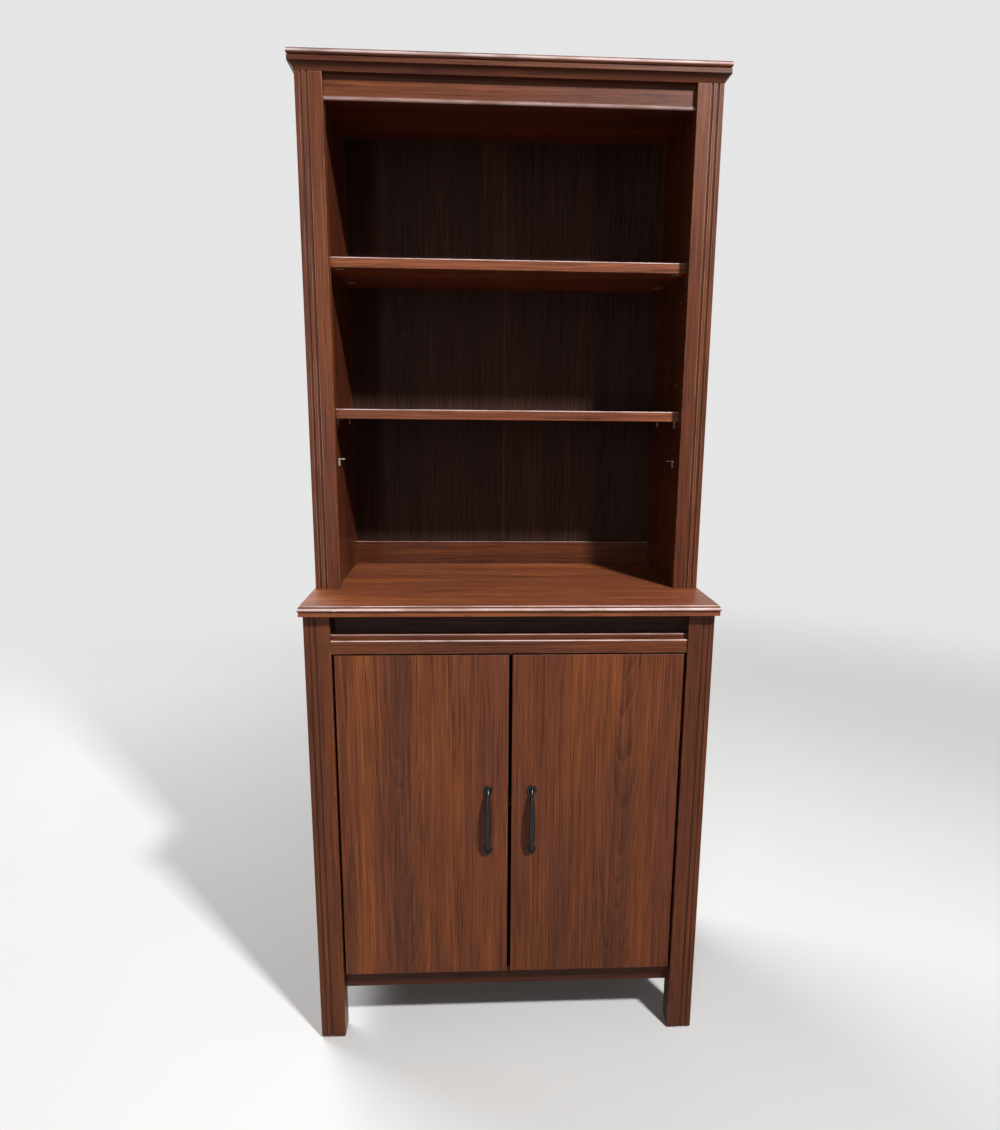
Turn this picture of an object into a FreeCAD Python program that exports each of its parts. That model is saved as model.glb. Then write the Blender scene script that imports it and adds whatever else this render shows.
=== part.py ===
import FreeCAD, Part
import math
import os

os.makedirs("parts", exist_ok=True)
Vec = FreeCAD.Vector

# Tall bookcase on a two-door base cabinet. Millimetres, +Z up, front towards -Y,
# origin on the floor under the middle of the whole cabinet.

# Overall arrangement
post_span = 776.0
post_width = 49.0
counter_depth = 475.0
counter_height = 927.0
counter_thickness = 20.0
counter_side_overhang = 7.0
counter_front_overhang = 20.0
hutch_setback = 163.0
hutch_height = 939.0
crown_overhang = 12.0
crown_thickness = 21.0
cove_height = 13.0
cove_width = 42.0

# Boards
panel_thickness = 19.0
panel_reveal = 6.0
shelf_thickness = 19.0
shelf_end_clearance = 1.0
back_thickness = 3.0
back_inset = 1.0
back_edge_margin = 4.0
back_rail_thickness = 15.0
arris = 1.2
seam_web = 1.0
seam_flange_width = 5.0
seam_flange_thickness = 0.8

# Posts and legs
post_depth = 27.0
leg_depth = 45.0
stile_depth = 25.0
rear_leg_depth = 40.0
flute_width = 4.6
flute_depth = 1.9
flute_place_shares = (0.22, 0.44)
glide_height = 4.0
glide_radius = 14.0

# Moulded edges: depth of the moulding, then segments as (set-in, rise) shares, three points for an arc
edge_moulding_depth = 4.0
counter_edge_shares = (
    ((0.55, 0.00), (0.55, 0.33)),
    ((0.55, 0.33), (1.00, 0.36)),
    ((1.00, 0.36), (0.60, 0.41)),
    ((0.60, 0.41), (0.00, 0.61), (0.60, 0.81)),
    ((0.60, 0.81), (1.00, 0.84)),
    ((1.00, 0.84), (0.80, 0.88)),
    ((0.80, 0.88), (0.92, 0.96), (1.35, 1.00)),
)
crown_edge_shares = (
    ((0.70, 0.00), (0.45, 0.04)),
    ((0.45, 0.04), (0.45, 0.40)),
    ((0.45, 0.40), (1.00, 0.44)),
    ((1.00, 0.44), (0.60, 0.50)),
    ((0.60, 0.50), (0.00, 0.72), (0.70, 0.96)),
    ((0.70, 0.96), (1.20, 1.00)),
)
cove_edge_shares = (((1.00, 0.00), (0.70, 0.58), (0.12, 1.00)),)

# Hutch rails and shelves
top_rail_height = 43.0
top_rail_recess = 13.0
top_rail_thickness = 16.0
top_rail_bead_height = 7.0
top_rail_bead_reach = 2.0
counter_rail_height = 53.0
lower_shelf_rise = 354.0
upper_shelf_rise = 634.0
shelf_hole_pitch = 40.0
spare_pin_steps = -2
hutch_hole_steps = (-2, 0, 2, 6)
base_hole_steps = (-2, 0, 2)
shelf_hole_radius = 2.5
shelf_hole_depth = 10.0
shelf_hole_front_margin = 56.0
shelf_hole_rear_margin = 32.0
pin_radial_clearance = 0.05
pin_end_clearance = 0.5
support_plate_height = 14.0
support_width = 9.0
support_reach = 12.0
support_thickness = 1.6

# Cam fittings under the fixed upper shelf
cam_radius = 9.5
cam_height = 12.0
cam_clearance = 0.1
cam_inset = 19.0
cam_front_margin = 22.0
cam_rear_margin = 83.0
cam_bolt_radius = 3.0
cam_bolt_bite = 11.0

# Base cabinet front
frieze_height = 41.5
frieze_recess = 28.0
moulded_rail_height = 35.5
moulded_rail_recess = 4.0
moulded_step_height = 25.5
moulded_step_depth = 9.0
moulded_round = 3.0
bottom_clearance = 100.0
bottom_rail_height = 40.0
bottom_rail_recess = 28.0
rear_top_rail_height = 60.0
base_shelf_rise = 360.0
base_shelf_setback = 28.0

# Doors
door_thickness = 18.0
door_recess = 7.0
door_side_gap = 4.5
door_top_gap = 4.0
door_bottom_gap = 3.0
door_centre_gap = 7.0
stop_width = 64.0
stop_depth = 14.0
stop_height = 11.0
stop_clearance = 0.3

# Handles: bow pulls on round rosettes
handle_centres = 128.0
handle_edge_distance = 40.0
handle_middle_drop = 342.0
handle_projection = 26.5
rosette_radius = 10.0
rosette_thickness = 3.0
handle_neck_radius = 6.0
handle_end_radius = 3.9
handle_belly_radius = 6.4
handle_belly_share = 0.54
handle_belly_width_share = 0.26
handle_neck_share = 0.05
handle_limb_share = 0.36
handle_limb_power = 1.5
handle_limb_ease = 0.6
handle_sections = 21
handle_screw_radius = 2.0
handle_screw_bite = 9.0
handle_screw_head_radius = 4.0
handle_screw_head = 2.4
screw_clearance = 0.15

# Concealed door hinges, one pin each
hinge_end_distance = 100.0
hinge_pin_inset = 13.0
hinge_pin_depth = 9.0
hinge_pin_radius = 1.4
hinge_pin_length = 20.0
hinge_running_clearance = 0.05
knuckle_radius = 2.8
arm_height = 11.0
arm_slot_clearance = 0.5
arm_slot_skin = 4.6
cup_inset = 22.5
cup_radius = 17.5
cup_wall = 0.8
cup_skin = 5.2
cup_pocket_clearance = 0.1
lug_width = 6.4
lug_length = 4.0
flange_inner = 15.0
flange_outer = 8.0
flange_height = 56.0
flange_thickness = 1.2
cup_screw_offset = 9.5
cup_screw_spacing = 45.0
plate_gap = 6.0
plate_length = 34.0
plate_height = 48.0
plate_thickness = 2.0
plate_rise = 12.0
plate_screw_spacing = 32.0
small_screw_radius = 1.7
small_screw_grip = 10.0
small_screw_head_radius = 3.4
small_screw_head = 1.5

# Dowels
dowel_radius = 4.0
dowel_length = 30.0
dowel_counter_depth = 12.0
dowel_clearance = 0.05
dowel_end_clearance = 0.5
overrun = 2.0

# Planes that the pieces share
post_outer_x = post_span / 2
post_inner_x = post_outer_x - post_width
wall_x = post_inner_x + panel_reveal
front_y = -counter_depth / 2
rear_y = counter_depth / 2
leg_front_y = front_y + counter_front_overhang
leg_back_y = leg_front_y + leg_depth
post_front_y = front_y + hutch_setback
post_back_y = post_front_y + post_depth
back_rear_y = rear_y - back_inset
frame_rear_y = back_rear_y - back_thickness
inner_rear_y = frame_rear_y - seam_flange_thickness
counter_low_z = counter_height - counter_thickness
hutch_top_z = counter_height + hutch_height
crown_low_z = hutch_top_z + cove_height
moulded_top_z = counter_low_z - frieze_height
moulded_low_z = moulded_top_z - moulded_rail_height
base_floor_z = bottom_clearance + bottom_rail_height
door_low_z = base_floor_z + door_bottom_gap
door_top_z = moulded_low_z - door_top_gap
door_front_y = leg_front_y + door_recess
door_back_y = door_front_y + door_thickness
door_edge_x = post_inner_x - door_side_gap
door_free_x = door_centre_gap / 2
hinge_heights = (door_low_z + hinge_end_distance, door_top_z - hinge_end_distance)
pin_x = door_edge_x - hinge_pin_inset
pin_y = door_front_y + hinge_pin_depth
cup_x = door_edge_x - cup_inset
cup_floor_y = door_front_y + cup_skin
lower_shelf_low_z = counter_height + lower_shelf_rise - shelf_thickness
upper_shelf_low_z = counter_height + upper_shelf_rise - shelf_thickness
base_shelf_low_z = base_floor_z + base_shelf_rise - shelf_thickness
base_shelf_front_y = leg_back_y + base_shelf_setback


# Building blocks

def box(x_span, y_span, z_span):
    """Box between the low and high values of each span."""
    size = [high - low for low, high in (x_span, y_span, z_span)]
    return Part.makeBox(*size, Vec(x_span[0], y_span[0], z_span[0]))


def board(x_span, y_span, z_span):
    """Box with every edge eased, by no more than a quarter of its thinnest side."""
    solid = box(x_span, y_span, z_span)
    thinnest = min(high - low for low, high in (x_span, y_span, z_span))
    return solid.makeFillet(min(arris, thinnest / 4), solid.Edges)


def rod(radius, length, base, direction):
    return Part.makeCylinder(radius, length, Vec(*base), Vec(*direction))


def mirrored(shape):
    """The same piece on the left side."""
    return shape.mirror(Vec(0, 0, 0), Vec(1, 0, 0))


def around(middle, length):
    return (middle - length / 2, middle + length / 2)


def save(name, *solids):
    shape = solids[0] if len(solids) == 1 else Part.makeCompound(solids)
    shape.exportStep("parts/" + name + ".step")


def save_pair(name, *solids):
    """One node per side: the right-hand solids as given, and their mirror images on the left."""
    save("right_" + name, *solids)
    save("left_" + name, *[mirrored(solid) for solid in solids])


def save_both(name, solids):
    """One node holding the right-hand solids and their mirror images."""
    save(name, *solids, *[mirrored(solid) for solid in solids])


def outline_face(segments):
    """Face inside segments of two points (line) or three points (arc)."""
    edges = []
    for points in segments:
        curve = Part.LineSegment(*points) if len(points) == 2 else Part.Arc(*points)
        edges.append(curve.toShape())
    return Part.Face(Part.Wire(Part.__sortEdges__(edges)))


def closed(segments):
    """Adds the line from the last point back to the first."""
    return segments + [(segments[-1][-1], segments[0][0])]


def moulded_board(half_width, low_y, high_y, low_z, height, depth, edge_shares):
    """Board with the same moulded edge at its front and both ends, mitred at the corners."""
    front = [
        [Vec(-half_width, low_y + set_in * depth, low_z + rise * height) for set_in, rise in points]
        for points in edge_shares]
    top = front[-1][-1]
    bottom = front[0][0]
    rear_top = Vec(top.x, high_y, top.z)
    rear_bottom = Vec(bottom.x, high_y, bottom.z)
    front += [(top, rear_top), (rear_top, rear_bottom)]
    lengthways = outline_face(closed(front)).extrude(Vec(2 * half_width, 0, 0))
    right = [
        [Vec(half_width - set_in * depth, low_y, low_z + rise * height) for set_in, rise in points]
        for points in edge_shares]
    left = [[Vec(-p.x, p.y, p.z) for p in reversed(points)] for points in reversed(right)]
    ends = right + [(right[-1][-1], left[0][0])] + left
    crossways = outline_face(closed(ends)).extrude(Vec(0, high_y - low_y, 0))
    return lengthways.common(crossways)


def plan_prism(points, low_z, height):
    corners = [Vec(x, y, low_z) for x, y in points]
    return Part.Face(Part.makePolygon(corners + corners[:1])).extrude(Vec(0, 0, height))


def flutes(front_y, low_z, high_z):
    """Round-bottomed grooves up the front of a right-hand post."""
    radius = (flute_width ** 2 / 4 + flute_depth ** 2) / (2 * flute_depth)
    axis_y = front_y + flute_depth - radius
    length = high_z - low_z + 2 * overrun
    places = [post_outer_x - share * post_width for share in flute_place_shares]
    grooves = [rod(radius, length, (x, axis_y, low_z - overrun), (0, 0, 1)) for x in places]
    return Part.makeCompound(grooves)


def fluted_post(front_y, depth, low_z, high_z):
    """Right-hand post with its grooves."""
    solid = board((post_inner_x, post_outer_x), (front_y, front_y + depth), (low_z, high_z))
    return solid.cut(flutes(front_y, low_z, high_z))


def screw(radius, grip, head_radius, head, base, direction):
    """Screw with its head's underside at base; direction points from the head into the work."""
    shank = rod(radius, grip, base, direction)
    outward = [-d for d in direction]
    return shank.fuse(rod(head_radius, head, base, outward)).removeSplitter()


# Dowels between the counter and the uprights above and below it
leg_dowel_places = (
    ((post_inner_x + post_outer_x) / 2, leg_front_y + leg_depth / 2),
    (wall_x + (post_outer_x - wall_x) / 4, frame_rear_y - rear_leg_depth / 2),
)
post_dowel_places = (
    ((post_inner_x + post_outer_x) / 2, post_front_y + post_depth / 2),
    (post_outer_x - (post_outer_x - wall_x) / 4, frame_rear_y - stile_depth / 2),
)
leg_dowel_low_z = counter_low_z + dowel_counter_depth - dowel_length
post_dowel_low_z = counter_height - dowel_counter_depth


def dowel_set(radius, extra):
    """Right-hand dowels, longer at each end by extra."""
    length = dowel_length + 2 * extra
    places = [(x, y, leg_dowel_low_z - extra) for x, y in leg_dowel_places]
    places += [(x, y, post_dowel_low_z - extra) for x, y in post_dowel_places]
    return [rod(radius, length, place, (0, 0, 1)) for place in places]


right_dowel_holes = Part.makeCompound(dowel_set(dowel_radius + dowel_clearance, dowel_end_clearance))
save_both("dowels", dowel_set(dowel_radius, 0))

# Counter
counter = moulded_board(
    post_outer_x + counter_side_overhang, front_y, rear_y, counter_low_z, counter_thickness,
    edge_moulding_depth, counter_edge_shares)
save("counter_top", counter.cut(right_dowel_holes).cut(mirrored(right_dowel_holes)))

# Crown: a moulded board on a coved frame of three mitred strips
crown_half = post_outer_x + crown_overhang
crown_front_y = post_front_y - crown_overhang
save("crown_board", moulded_board(
    crown_half, crown_front_y, rear_y, crown_low_z, crown_thickness,
    edge_moulding_depth, crown_edge_shares))
coved = moulded_board(
    crown_half, crown_front_y, rear_y, hutch_top_z, cove_height, crown_overhang, cove_edge_shares)
cove_inner_x = crown_half - cove_width
cove_inner_y = crown_front_y + cove_width
front_strip = plan_prism((
    (-crown_half, crown_front_y), (crown_half, crown_front_y),
    (cove_inner_x, cove_inner_y), (-cove_inner_x, cove_inner_y)), hutch_top_z, cove_height)
side_strip = plan_prism((
    (crown_half, crown_front_y), (crown_half, rear_y),
    (cove_inner_x, rear_y), (cove_inner_x, cove_inner_y)), hutch_top_z, cove_height)
save("front_crown_cove", coved.common(front_strip))
save_pair("crown_cove", coved.common(side_strip))
save("rear_crown_batten", box(
    (-cove_inner_x, cove_inner_x), (inner_rear_y - cove_width, inner_rear_y), (hutch_top_z, crown_low_z)))

# Hutch frame
hutch_post = fluted_post(post_front_y, post_depth, counter_height, hutch_top_z)
save_pair("hutch_post", hutch_post.cut(right_dowel_holes))
stile_front_y = frame_rear_y - stile_depth
hutch_stile = board((wall_x, post_outer_x), (stile_front_y, frame_rear_y), (counter_height, hutch_top_z))
save_pair("hutch_rear_stile", hutch_stile.cut(right_dowel_holes))


def pin_columns(front_y, rear_limit_y):
    return (front_y + shelf_hole_front_margin, rear_limit_y - shelf_hole_rear_margin)


def shelf_holes(columns, shelf_low_z, steps):
    """Blind holes in the right-hand wall, counted up and down from the shelf's own supports."""
    base_z = shelf_low_z - support_plate_height / 2
    places = [(y, base_z + step * shelf_hole_pitch) for y in columns for step in steps]
    depth = shelf_hole_depth + overrun
    holes = [rod(shelf_hole_radius, depth, (wall_x - overrun, y, z), (1, 0, 0)) for y, z in places]
    return Part.makeCompound(holes)


def shelf_pin(y, shelf_low_z):
    """Right-hand angle support: a shank in the wall, a plate against it and a tongue under the shelf."""
    z = shelf_low_z - support_plate_height / 2
    shank_radius = shelf_hole_radius - pin_radial_clearance
    shank = rod(shank_radius, shelf_hole_depth - pin_end_clearance, (wall_x, y, z), (1, 0, 0))
    across = around(y, support_width)
    plate = box((wall_x - support_thickness, wall_x), across, around(z, support_plate_height))
    tongue = box((wall_x - support_reach, wall_x), across, (shelf_low_z - support_thickness, shelf_low_z))
    return plate.fuse([tongue, shank]).removeSplitter()


hutch_shelf_y = (post_back_y + shelf_end_clearance, inner_rear_y - shelf_end_clearance)
cam_x = wall_x - cam_inset
cam_columns = (hutch_shelf_y[0] + cam_front_margin, hutch_shelf_y[1] - cam_rear_margin)


def cam_fittings(clearance):
    """Right-hand cams let into the shelf from below, each on a bolt that runs into the wall."""
    solids = []
    for y in cam_columns:
        bolt_z = upper_shelf_low_z + cam_height / 2
        disc = rod(cam_radius + clearance, cam_height + clearance, (cam_x, y, upper_shelf_low_z), (0, 0, 1))
        bolt_length = cam_inset + cam_bolt_bite + clearance
        bolt = rod(cam_bolt_radius + clearance, bolt_length, (cam_x, y, bolt_z), (1, 0, 0))
        solids.append(disc.fuse(bolt).removeSplitter())
    return solids


right_cam_cuts = Part.makeCompound(cam_fittings(cam_clearance))
save_both("shelf_cam_fittings", cam_fittings(0))

hutch_wall_columns = pin_columns(post_back_y, stile_front_y)
side_wall_x = (wall_x, wall_x + panel_thickness)
hutch_wall = box(side_wall_x, (post_back_y, stile_front_y), (counter_height, hutch_top_z))
hutch_wall = hutch_wall.cut(shelf_holes(hutch_wall_columns, lower_shelf_low_z, hutch_hole_steps))
save_pair("hutch_side_panel", hutch_wall.cut(right_cam_cuts))
spare_pin_z = lower_shelf_low_z + spare_pin_steps * shelf_hole_pitch
hutch_pins = [shelf_pin(y, lower_shelf_low_z) for y in hutch_wall_columns]
hutch_pins.append(shelf_pin(hutch_wall_columns[0], spare_pin_z))
save_both("hutch_shelf_pins", hutch_pins)

# Hutch top, rails, back and shelves
top_rail_y = post_front_y + top_rail_recess
top_rail_back_y = top_rail_y + top_rail_thickness
top_rail_low_z = hutch_top_z - top_rail_height
between_walls = (-wall_x, wall_x)
top_panel_y = (max(top_rail_back_y, post_back_y), inner_rear_y)
save("hutch_top_panel", box(between_walls, top_panel_y, (hutch_top_z - panel_thickness, hutch_top_z)))
bead_top = Vec(-post_inner_x, top_rail_y, top_rail_low_z + top_rail_bead_height)
bead_crest = Vec(-post_inner_x, top_rail_y - top_rail_bead_reach, top_rail_low_z + top_rail_bead_height / 2)
bead_foot = Vec(-post_inner_x, top_rail_y, top_rail_low_z)
rail_back_low = Vec(-post_inner_x, top_rail_back_y, top_rail_low_z)
rail_back_top = Vec(-post_inner_x, top_rail_back_y, hutch_top_z)
rail_front_top = Vec(-post_inner_x, top_rail_y, hutch_top_z)
top_rail_outline = [
    (rail_front_top, bead_top), (bead_top, bead_crest, bead_foot), (bead_foot, rail_back_low),
    (rail_back_low, rail_back_top)]
save("hutch_top_rail", outline_face(closed(top_rail_outline)).extrude(Vec(2 * post_inner_x, 0, 0)))
back_rail_y = (inner_rear_y - back_rail_thickness, inner_rear_y)
counter_rail_z = (counter_height, counter_height + counter_rail_height)
save("hutch_counter_rail", board(between_walls, back_rail_y, counter_rail_z))
shelf_x = (shelf_end_clearance - wall_x, wall_x - shelf_end_clearance)
lower_shelf_z = (lower_shelf_low_z, lower_shelf_low_z + shelf_thickness)
upper_shelf_z = (upper_shelf_low_z, upper_shelf_low_z + shelf_thickness)
save("lower_hutch_shelf", board(shelf_x, hutch_shelf_y, lower_shelf_z))
upper_shelf = board(between_walls, hutch_shelf_y, upper_shelf_z)
save("upper_hutch_shelf", upper_shelf.cut(right_cam_cuts).cut(mirrored(right_cam_cuts)))


def save_back(prefix, z_span):
    """Thin back in two halves, with a T-shaped strip covering the seam from inside."""
    half = box((seam_web / 2, post_outer_x - back_edge_margin), (frame_rear_y, back_rear_y), z_span)
    save(prefix + "_back_right_half", half)
    save(prefix + "_back_left_half", mirrored(half))
    web = box(around(0, seam_web), (frame_rear_y, back_rear_y), z_span)
    flange = box(around(0, seam_flange_width), (inner_rear_y, frame_rear_y), z_span)
    save(prefix + "_back_seam_strip", web.fuse(flange).removeSplitter())


save_back("hutch", (counter_height, hutch_top_z))
save_back("base", (bottom_clearance, counter_low_z))

# Base frame
front_leg = fluted_post(leg_front_y, leg_depth, glide_height, counter_low_z)
save_pair("front_leg", front_leg.cut(right_dowel_holes))
rear_leg_y = (frame_rear_y - rear_leg_depth, frame_rear_y)
rear_leg = board((wall_x, post_outer_x), rear_leg_y, (glide_height, counter_low_z))
save_pair("rear_leg", rear_leg.cut(right_dowel_holes))
glide_places = (
    ((post_inner_x + post_outer_x) / 2, leg_front_y + leg_depth / 2),
    ((wall_x + post_outer_x) / 2, frame_rear_y - rear_leg_depth / 2),
)
glides = [rod(glide_radius, glide_height, (x, y, 0), (0, 0, 1)) for x, y in glide_places]
save_both("floor_glides", glides)

plate_front_y = leg_back_y + plate_gap
plate_screw_y = plate_front_y + plate_length / 2
plate_face_x = wall_x - plate_thickness
plate_screw_places = [z + side * plate_screw_spacing / 2 for z in hinge_heights for side in (-1, 1)]


def plate_screw_holes():
    radius = small_screw_radius + screw_clearance
    length = small_screw_grip + screw_clearance + overrun
    start = plate_face_x - overrun
    holes = [rod(radius, length, (start, plate_screw_y, z), (1, 0, 0)) for z in plate_screw_places]
    return Part.makeCompound(holes)


base_wall_columns = pin_columns(base_shelf_front_y, rear_leg_y[0])
base_wall = box(side_wall_x, (leg_back_y, rear_leg_y[0]), (bottom_clearance, counter_low_z))
base_wall = base_wall.cut(shelf_holes(base_wall_columns, base_shelf_low_z, base_hole_steps))
save_pair("base_side_panel", base_wall.cut(plate_screw_holes()))
base_pins = [shelf_pin(y, base_shelf_low_z) for y in base_wall_columns]
save_both("base_shelf_pins", base_pins)
base_shelf_y = (base_shelf_front_y, inner_rear_y - shelf_end_clearance)
save("base_shelf", board(shelf_x, base_shelf_y, (base_shelf_low_z, base_shelf_low_z + shelf_thickness)))

# Base front rails, floor and rear rail
between_legs = (-post_inner_x, post_inner_x)
frieze_y = (leg_front_y + frieze_recess, leg_back_y)
save("frieze_board", box(between_legs, frieze_y, (moulded_top_z, counter_low_z)))


def moulded_rail():
    """Stepped rail: a proud lower face and a set-back upper face, each with a rounded top edge."""
    low_y = leg_front_y + moulded_rail_recess
    high_y = low_y + moulded_step_depth
    step_z = moulded_low_z + moulded_step_height
    soft = moulded_round * (1 - math.sqrt(0.5))

    def at(y, z):
        return Vec(-post_inner_x, y, z)

    def rounded(y, z):
        """Arc over the top edge of a face at y, up to height z."""
        return (at(y, z - moulded_round), at(y + soft, z - soft), at(y + moulded_round, z))

    lower_round = rounded(low_y, step_z)
    upper_round = rounded(high_y, moulded_top_z)
    outline = [
        (at(low_y, moulded_low_z), lower_round[0]), lower_round,
        (lower_round[-1], at(high_y, step_z)),
        (at(high_y, step_z), upper_round[0]), upper_round,
        (upper_round[-1], at(leg_back_y, moulded_top_z)),
        (at(leg_back_y, moulded_top_z), at(leg_back_y, moulded_low_z)),
    ]
    return outline_face(closed(outline)).extrude(Vec(2 * post_inner_x, 0, 0))


save("moulded_rail", moulded_rail())
bottom_rail_y = (leg_front_y + bottom_rail_recess, leg_back_y)
save("bottom_rail", board(between_legs, bottom_rail_y, (bottom_clearance, base_floor_z)))
floor_panel_z = (base_floor_z - panel_thickness, base_floor_z)
save("base_floor_panel", box(between_walls, (leg_back_y, inner_rear_y), floor_panel_z))
rear_top_rail_z = (counter_low_z - rear_top_rail_height, counter_low_z)
save("rear_top_rail", box(between_walls, (inner_rear_y - panel_thickness, inner_rear_y), rear_top_rail_z))
stop_front_y = door_back_y + stop_clearance
stop_z = (moulded_low_z - stop_height, moulded_low_z)
save("door_stop", board(around(0, stop_width), (stop_front_y, stop_front_y + stop_depth), stop_z))

# Doors
slot_y = (door_front_y + arm_slot_skin, door_back_y + flange_thickness + overrun)
slot_x = (pin_x - knuckle_radius - arm_slot_clearance, door_edge_x + overrun)


def hinge_slot(z):
    """Room for the hinge arm to turn past the door's edge."""
    return box(slot_x, slot_y, around(z, arm_height + 2 * arm_slot_clearance))


def cup_screw_places(z):
    return [(cup_x - cup_screw_offset, z + side * cup_screw_spacing / 2) for side in (-1, 1)]


def cup_screw_holes(z):
    radius = small_screw_radius + screw_clearance
    depth = small_screw_grip + screw_clearance + flange_thickness + overrun
    start = door_back_y + flange_thickness + overrun
    return [rod(radius, depth, (x, start, hole_z), (0, -1, 0)) for x, hole_z in cup_screw_places(z)]


handle_x = door_free_x + handle_edge_distance
handle_z = door_top_z - handle_middle_drop
handle_screw_rises = [side * handle_centres / 2 for side in (-1, 1)]
handle_screw_heights = [handle_z + rise for rise in handle_screw_rises]
handle_bore_radius = handle_screw_radius + screw_clearance


def door_cuts():
    cuts = []
    for z in hinge_heights:
        pocket_start = cup_floor_y - cup_pocket_clearance
        pocket_depth = door_back_y + overrun - pocket_start
        pocket = rod(cup_radius + cup_pocket_clearance, pocket_depth, (cup_x, pocket_start, z), (0, 1, 0))
        cuts += [pocket, hinge_slot(z)] + cup_screw_holes(z)
    through = door_thickness + 2 * overrun
    for z in handle_screw_heights:
        cuts.append(rod(handle_bore_radius, through, (handle_x, door_front_y - overrun, z), (0, 1, 0)))
    return cuts


door = board((door_free_x, door_edge_x), (door_front_y, door_back_y), (door_low_z, door_top_z))
save_pair("door", door.cut(door_cuts()))


# Handles, shaped about the middle of the rosettes' line and moved to the door
def bow_centre(share):
    """Point on the bow's centre line: a limb slopes out from each rosette and eases into a straight middle."""
    down = (1 - math.cos(math.pi * share)) / 2
    climbed = min(1, min(down, 1 - down) / handle_limb_share)
    reach = handle_projection - handle_belly_radius - rosette_thickness
    out = reach * (1 - (1 - climbed ** handle_limb_ease) ** handle_limb_power)
    rise = handle_centres * (0.5 - down)
    return Vec(0, -rosette_thickness - out, rise)


def bow_radius(share):
    """Flared neck at each rosette, slim shoulders and a belly below the middle."""
    swell = math.exp(-((share - handle_belly_share) / handle_belly_width_share) ** 2)
    slim = handle_end_radius + (handle_belly_radius - handle_end_radius) * swell
    flare = math.exp(-(min(share, 1 - share) / handle_neck_share) ** 2)
    return slim + (handle_neck_radius - handle_end_radius) * flare


def bow():
    """Loft through circles square to the centre line, each started from its +X side."""
    shares = [i / (handle_sections - 1) for i in range(handle_sections)]
    centres = [bow_centre(share) for share in shares]
    outward = Vec(0, -1, 0)
    rings = []
    for i, share in enumerate(shares):
        inside = 0 < i < handle_sections - 1
        along = centres[i + 1] - centres[i - 1] if inside else outward * (1 if i == 0 else -1)
        turn = math.degrees(math.atan2(-along.y, along.z)) % 360
        ring = Part.Wire(Part.makeCircle(bow_radius(share)))
        ring.Placement = FreeCAD.Placement(centres[i], FreeCAD.Rotation(Vec(1, 0, 0), turn))
        rings.append(ring)
    return Part.makeLoft(rings, True, False)


def rosette(rise):
    disc = rod(rosette_radius, rosette_thickness, (0, 0, rise), (0, -1, 0))
    rim = [e for e in disc.Edges if e.BoundBox.YMax < -rosette_thickness / 2]
    return disc.makeFillet(rosette_thickness / 2, rim)


handle = bow().fuse([rosette(rise) for rise in handle_screw_rises]).removeSplitter()
handle_bore_depth = handle_screw_bite + screw_clearance
for rise in handle_screw_rises:
    handle = handle.cut(rod(handle_bore_radius, handle_bore_depth, (0, 0, rise), (0, -1, 0)))
save_pair("handle", handle.translated(Vec(handle_x, door_front_y, handle_z)))


def handle_screw(z):
    return screw(handle_screw_radius, door_thickness + handle_screw_bite, handle_screw_head_radius,
                 handle_screw_head, (handle_x, door_back_y, z), (0, -1, 0))


save_pair("handle_screws", *[handle_screw(z) for z in handle_screw_heights])


# Hinges: a cup in the door, an arm and plate on the side panel, one pin through both
hinge_bore_radius = hinge_pin_radius + hinge_running_clearance


def hinge_cup(z):
    """Thin cup sunk in the door, a screwed flange and two lugs that hold the pin."""
    depth = door_back_y - cup_floor_y
    shell = rod(cup_radius, depth, (cup_x, cup_floor_y, z), (0, 1, 0))
    flange_x = (cup_x - flange_inner, cup_x + flange_outer)
    flange = box(flange_x, (door_back_y, door_back_y + flange_thickness), around(z, flange_height))
    bore_radius = cup_radius - cup_wall
    bore_depth = depth + flange_thickness + overrun
    bore = rod(bore_radius, bore_depth, (cup_x, cup_floor_y + cup_wall, z), (0, 1, 0))
    cup = shell.fuse(flange).cut(bore)
    lug_gap = arm_height + 2 * arm_slot_clearance
    lug_y = (cup_floor_y, pin_y + lug_width / 2)
    for side in (-1, 1):
        middle = z + side * (lug_gap + lug_length) / 2
        cup = cup.fuse(box(around(pin_x, lug_width), lug_y, around(middle, lug_length)))
    pin_hole = rod(hinge_bore_radius, flange_height, (pin_x, pin_y, z - flange_height / 2), (0, 0, 1))
    inner = rod(bore_radius, depth, (cup_x, cup_floor_y, z), (0, 1, 0))
    return cup.cut(pin_hole.common(inner)).cut([hinge_slot(z)] + cup_screw_holes(z)).removeSplitter()


def hinge_arm(z):
    """Knuckle on the pin, a straight neck past the door's edge and a foot on the plate."""
    low_z = z - arm_height / 2
    neck_x = around(pin_x, 2 * knuckle_radius)
    foot_x = (neck_x[0], wall_x - plate_rise)
    tall = around(z, arm_height)
    knuckle = rod(knuckle_radius, arm_height, (pin_x, pin_y, low_z), (0, 0, 1))
    neck = box(neck_x, (pin_y, plate_front_y), tall)
    foot = box(foot_x, (plate_front_y, plate_front_y + plate_length), tall)
    hole = rod(hinge_bore_radius, arm_height + 2 * overrun, (pin_x, pin_y, low_z - overrun), (0, 0, 1))
    return knuckle.fuse([neck, foot]).cut(hole).removeSplitter()


def hinge_plate(z):
    """Wings screwed to the side panel, with a raised bar under the arm's foot."""
    y_span = (plate_front_y, plate_front_y + plate_length)
    wings = box((plate_face_x, wall_x), y_span, around(z, plate_height))
    bar = box((wall_x - plate_rise, plate_face_x), y_span, around(z, arm_height))
    return wings.fuse(bar).cut(plate_screw_holes()).removeSplitter()


def hinge_pin(z):
    return rod(hinge_pin_radius, hinge_pin_length, (pin_x, pin_y, z - hinge_pin_length / 2), (0, 0, 1))


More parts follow.
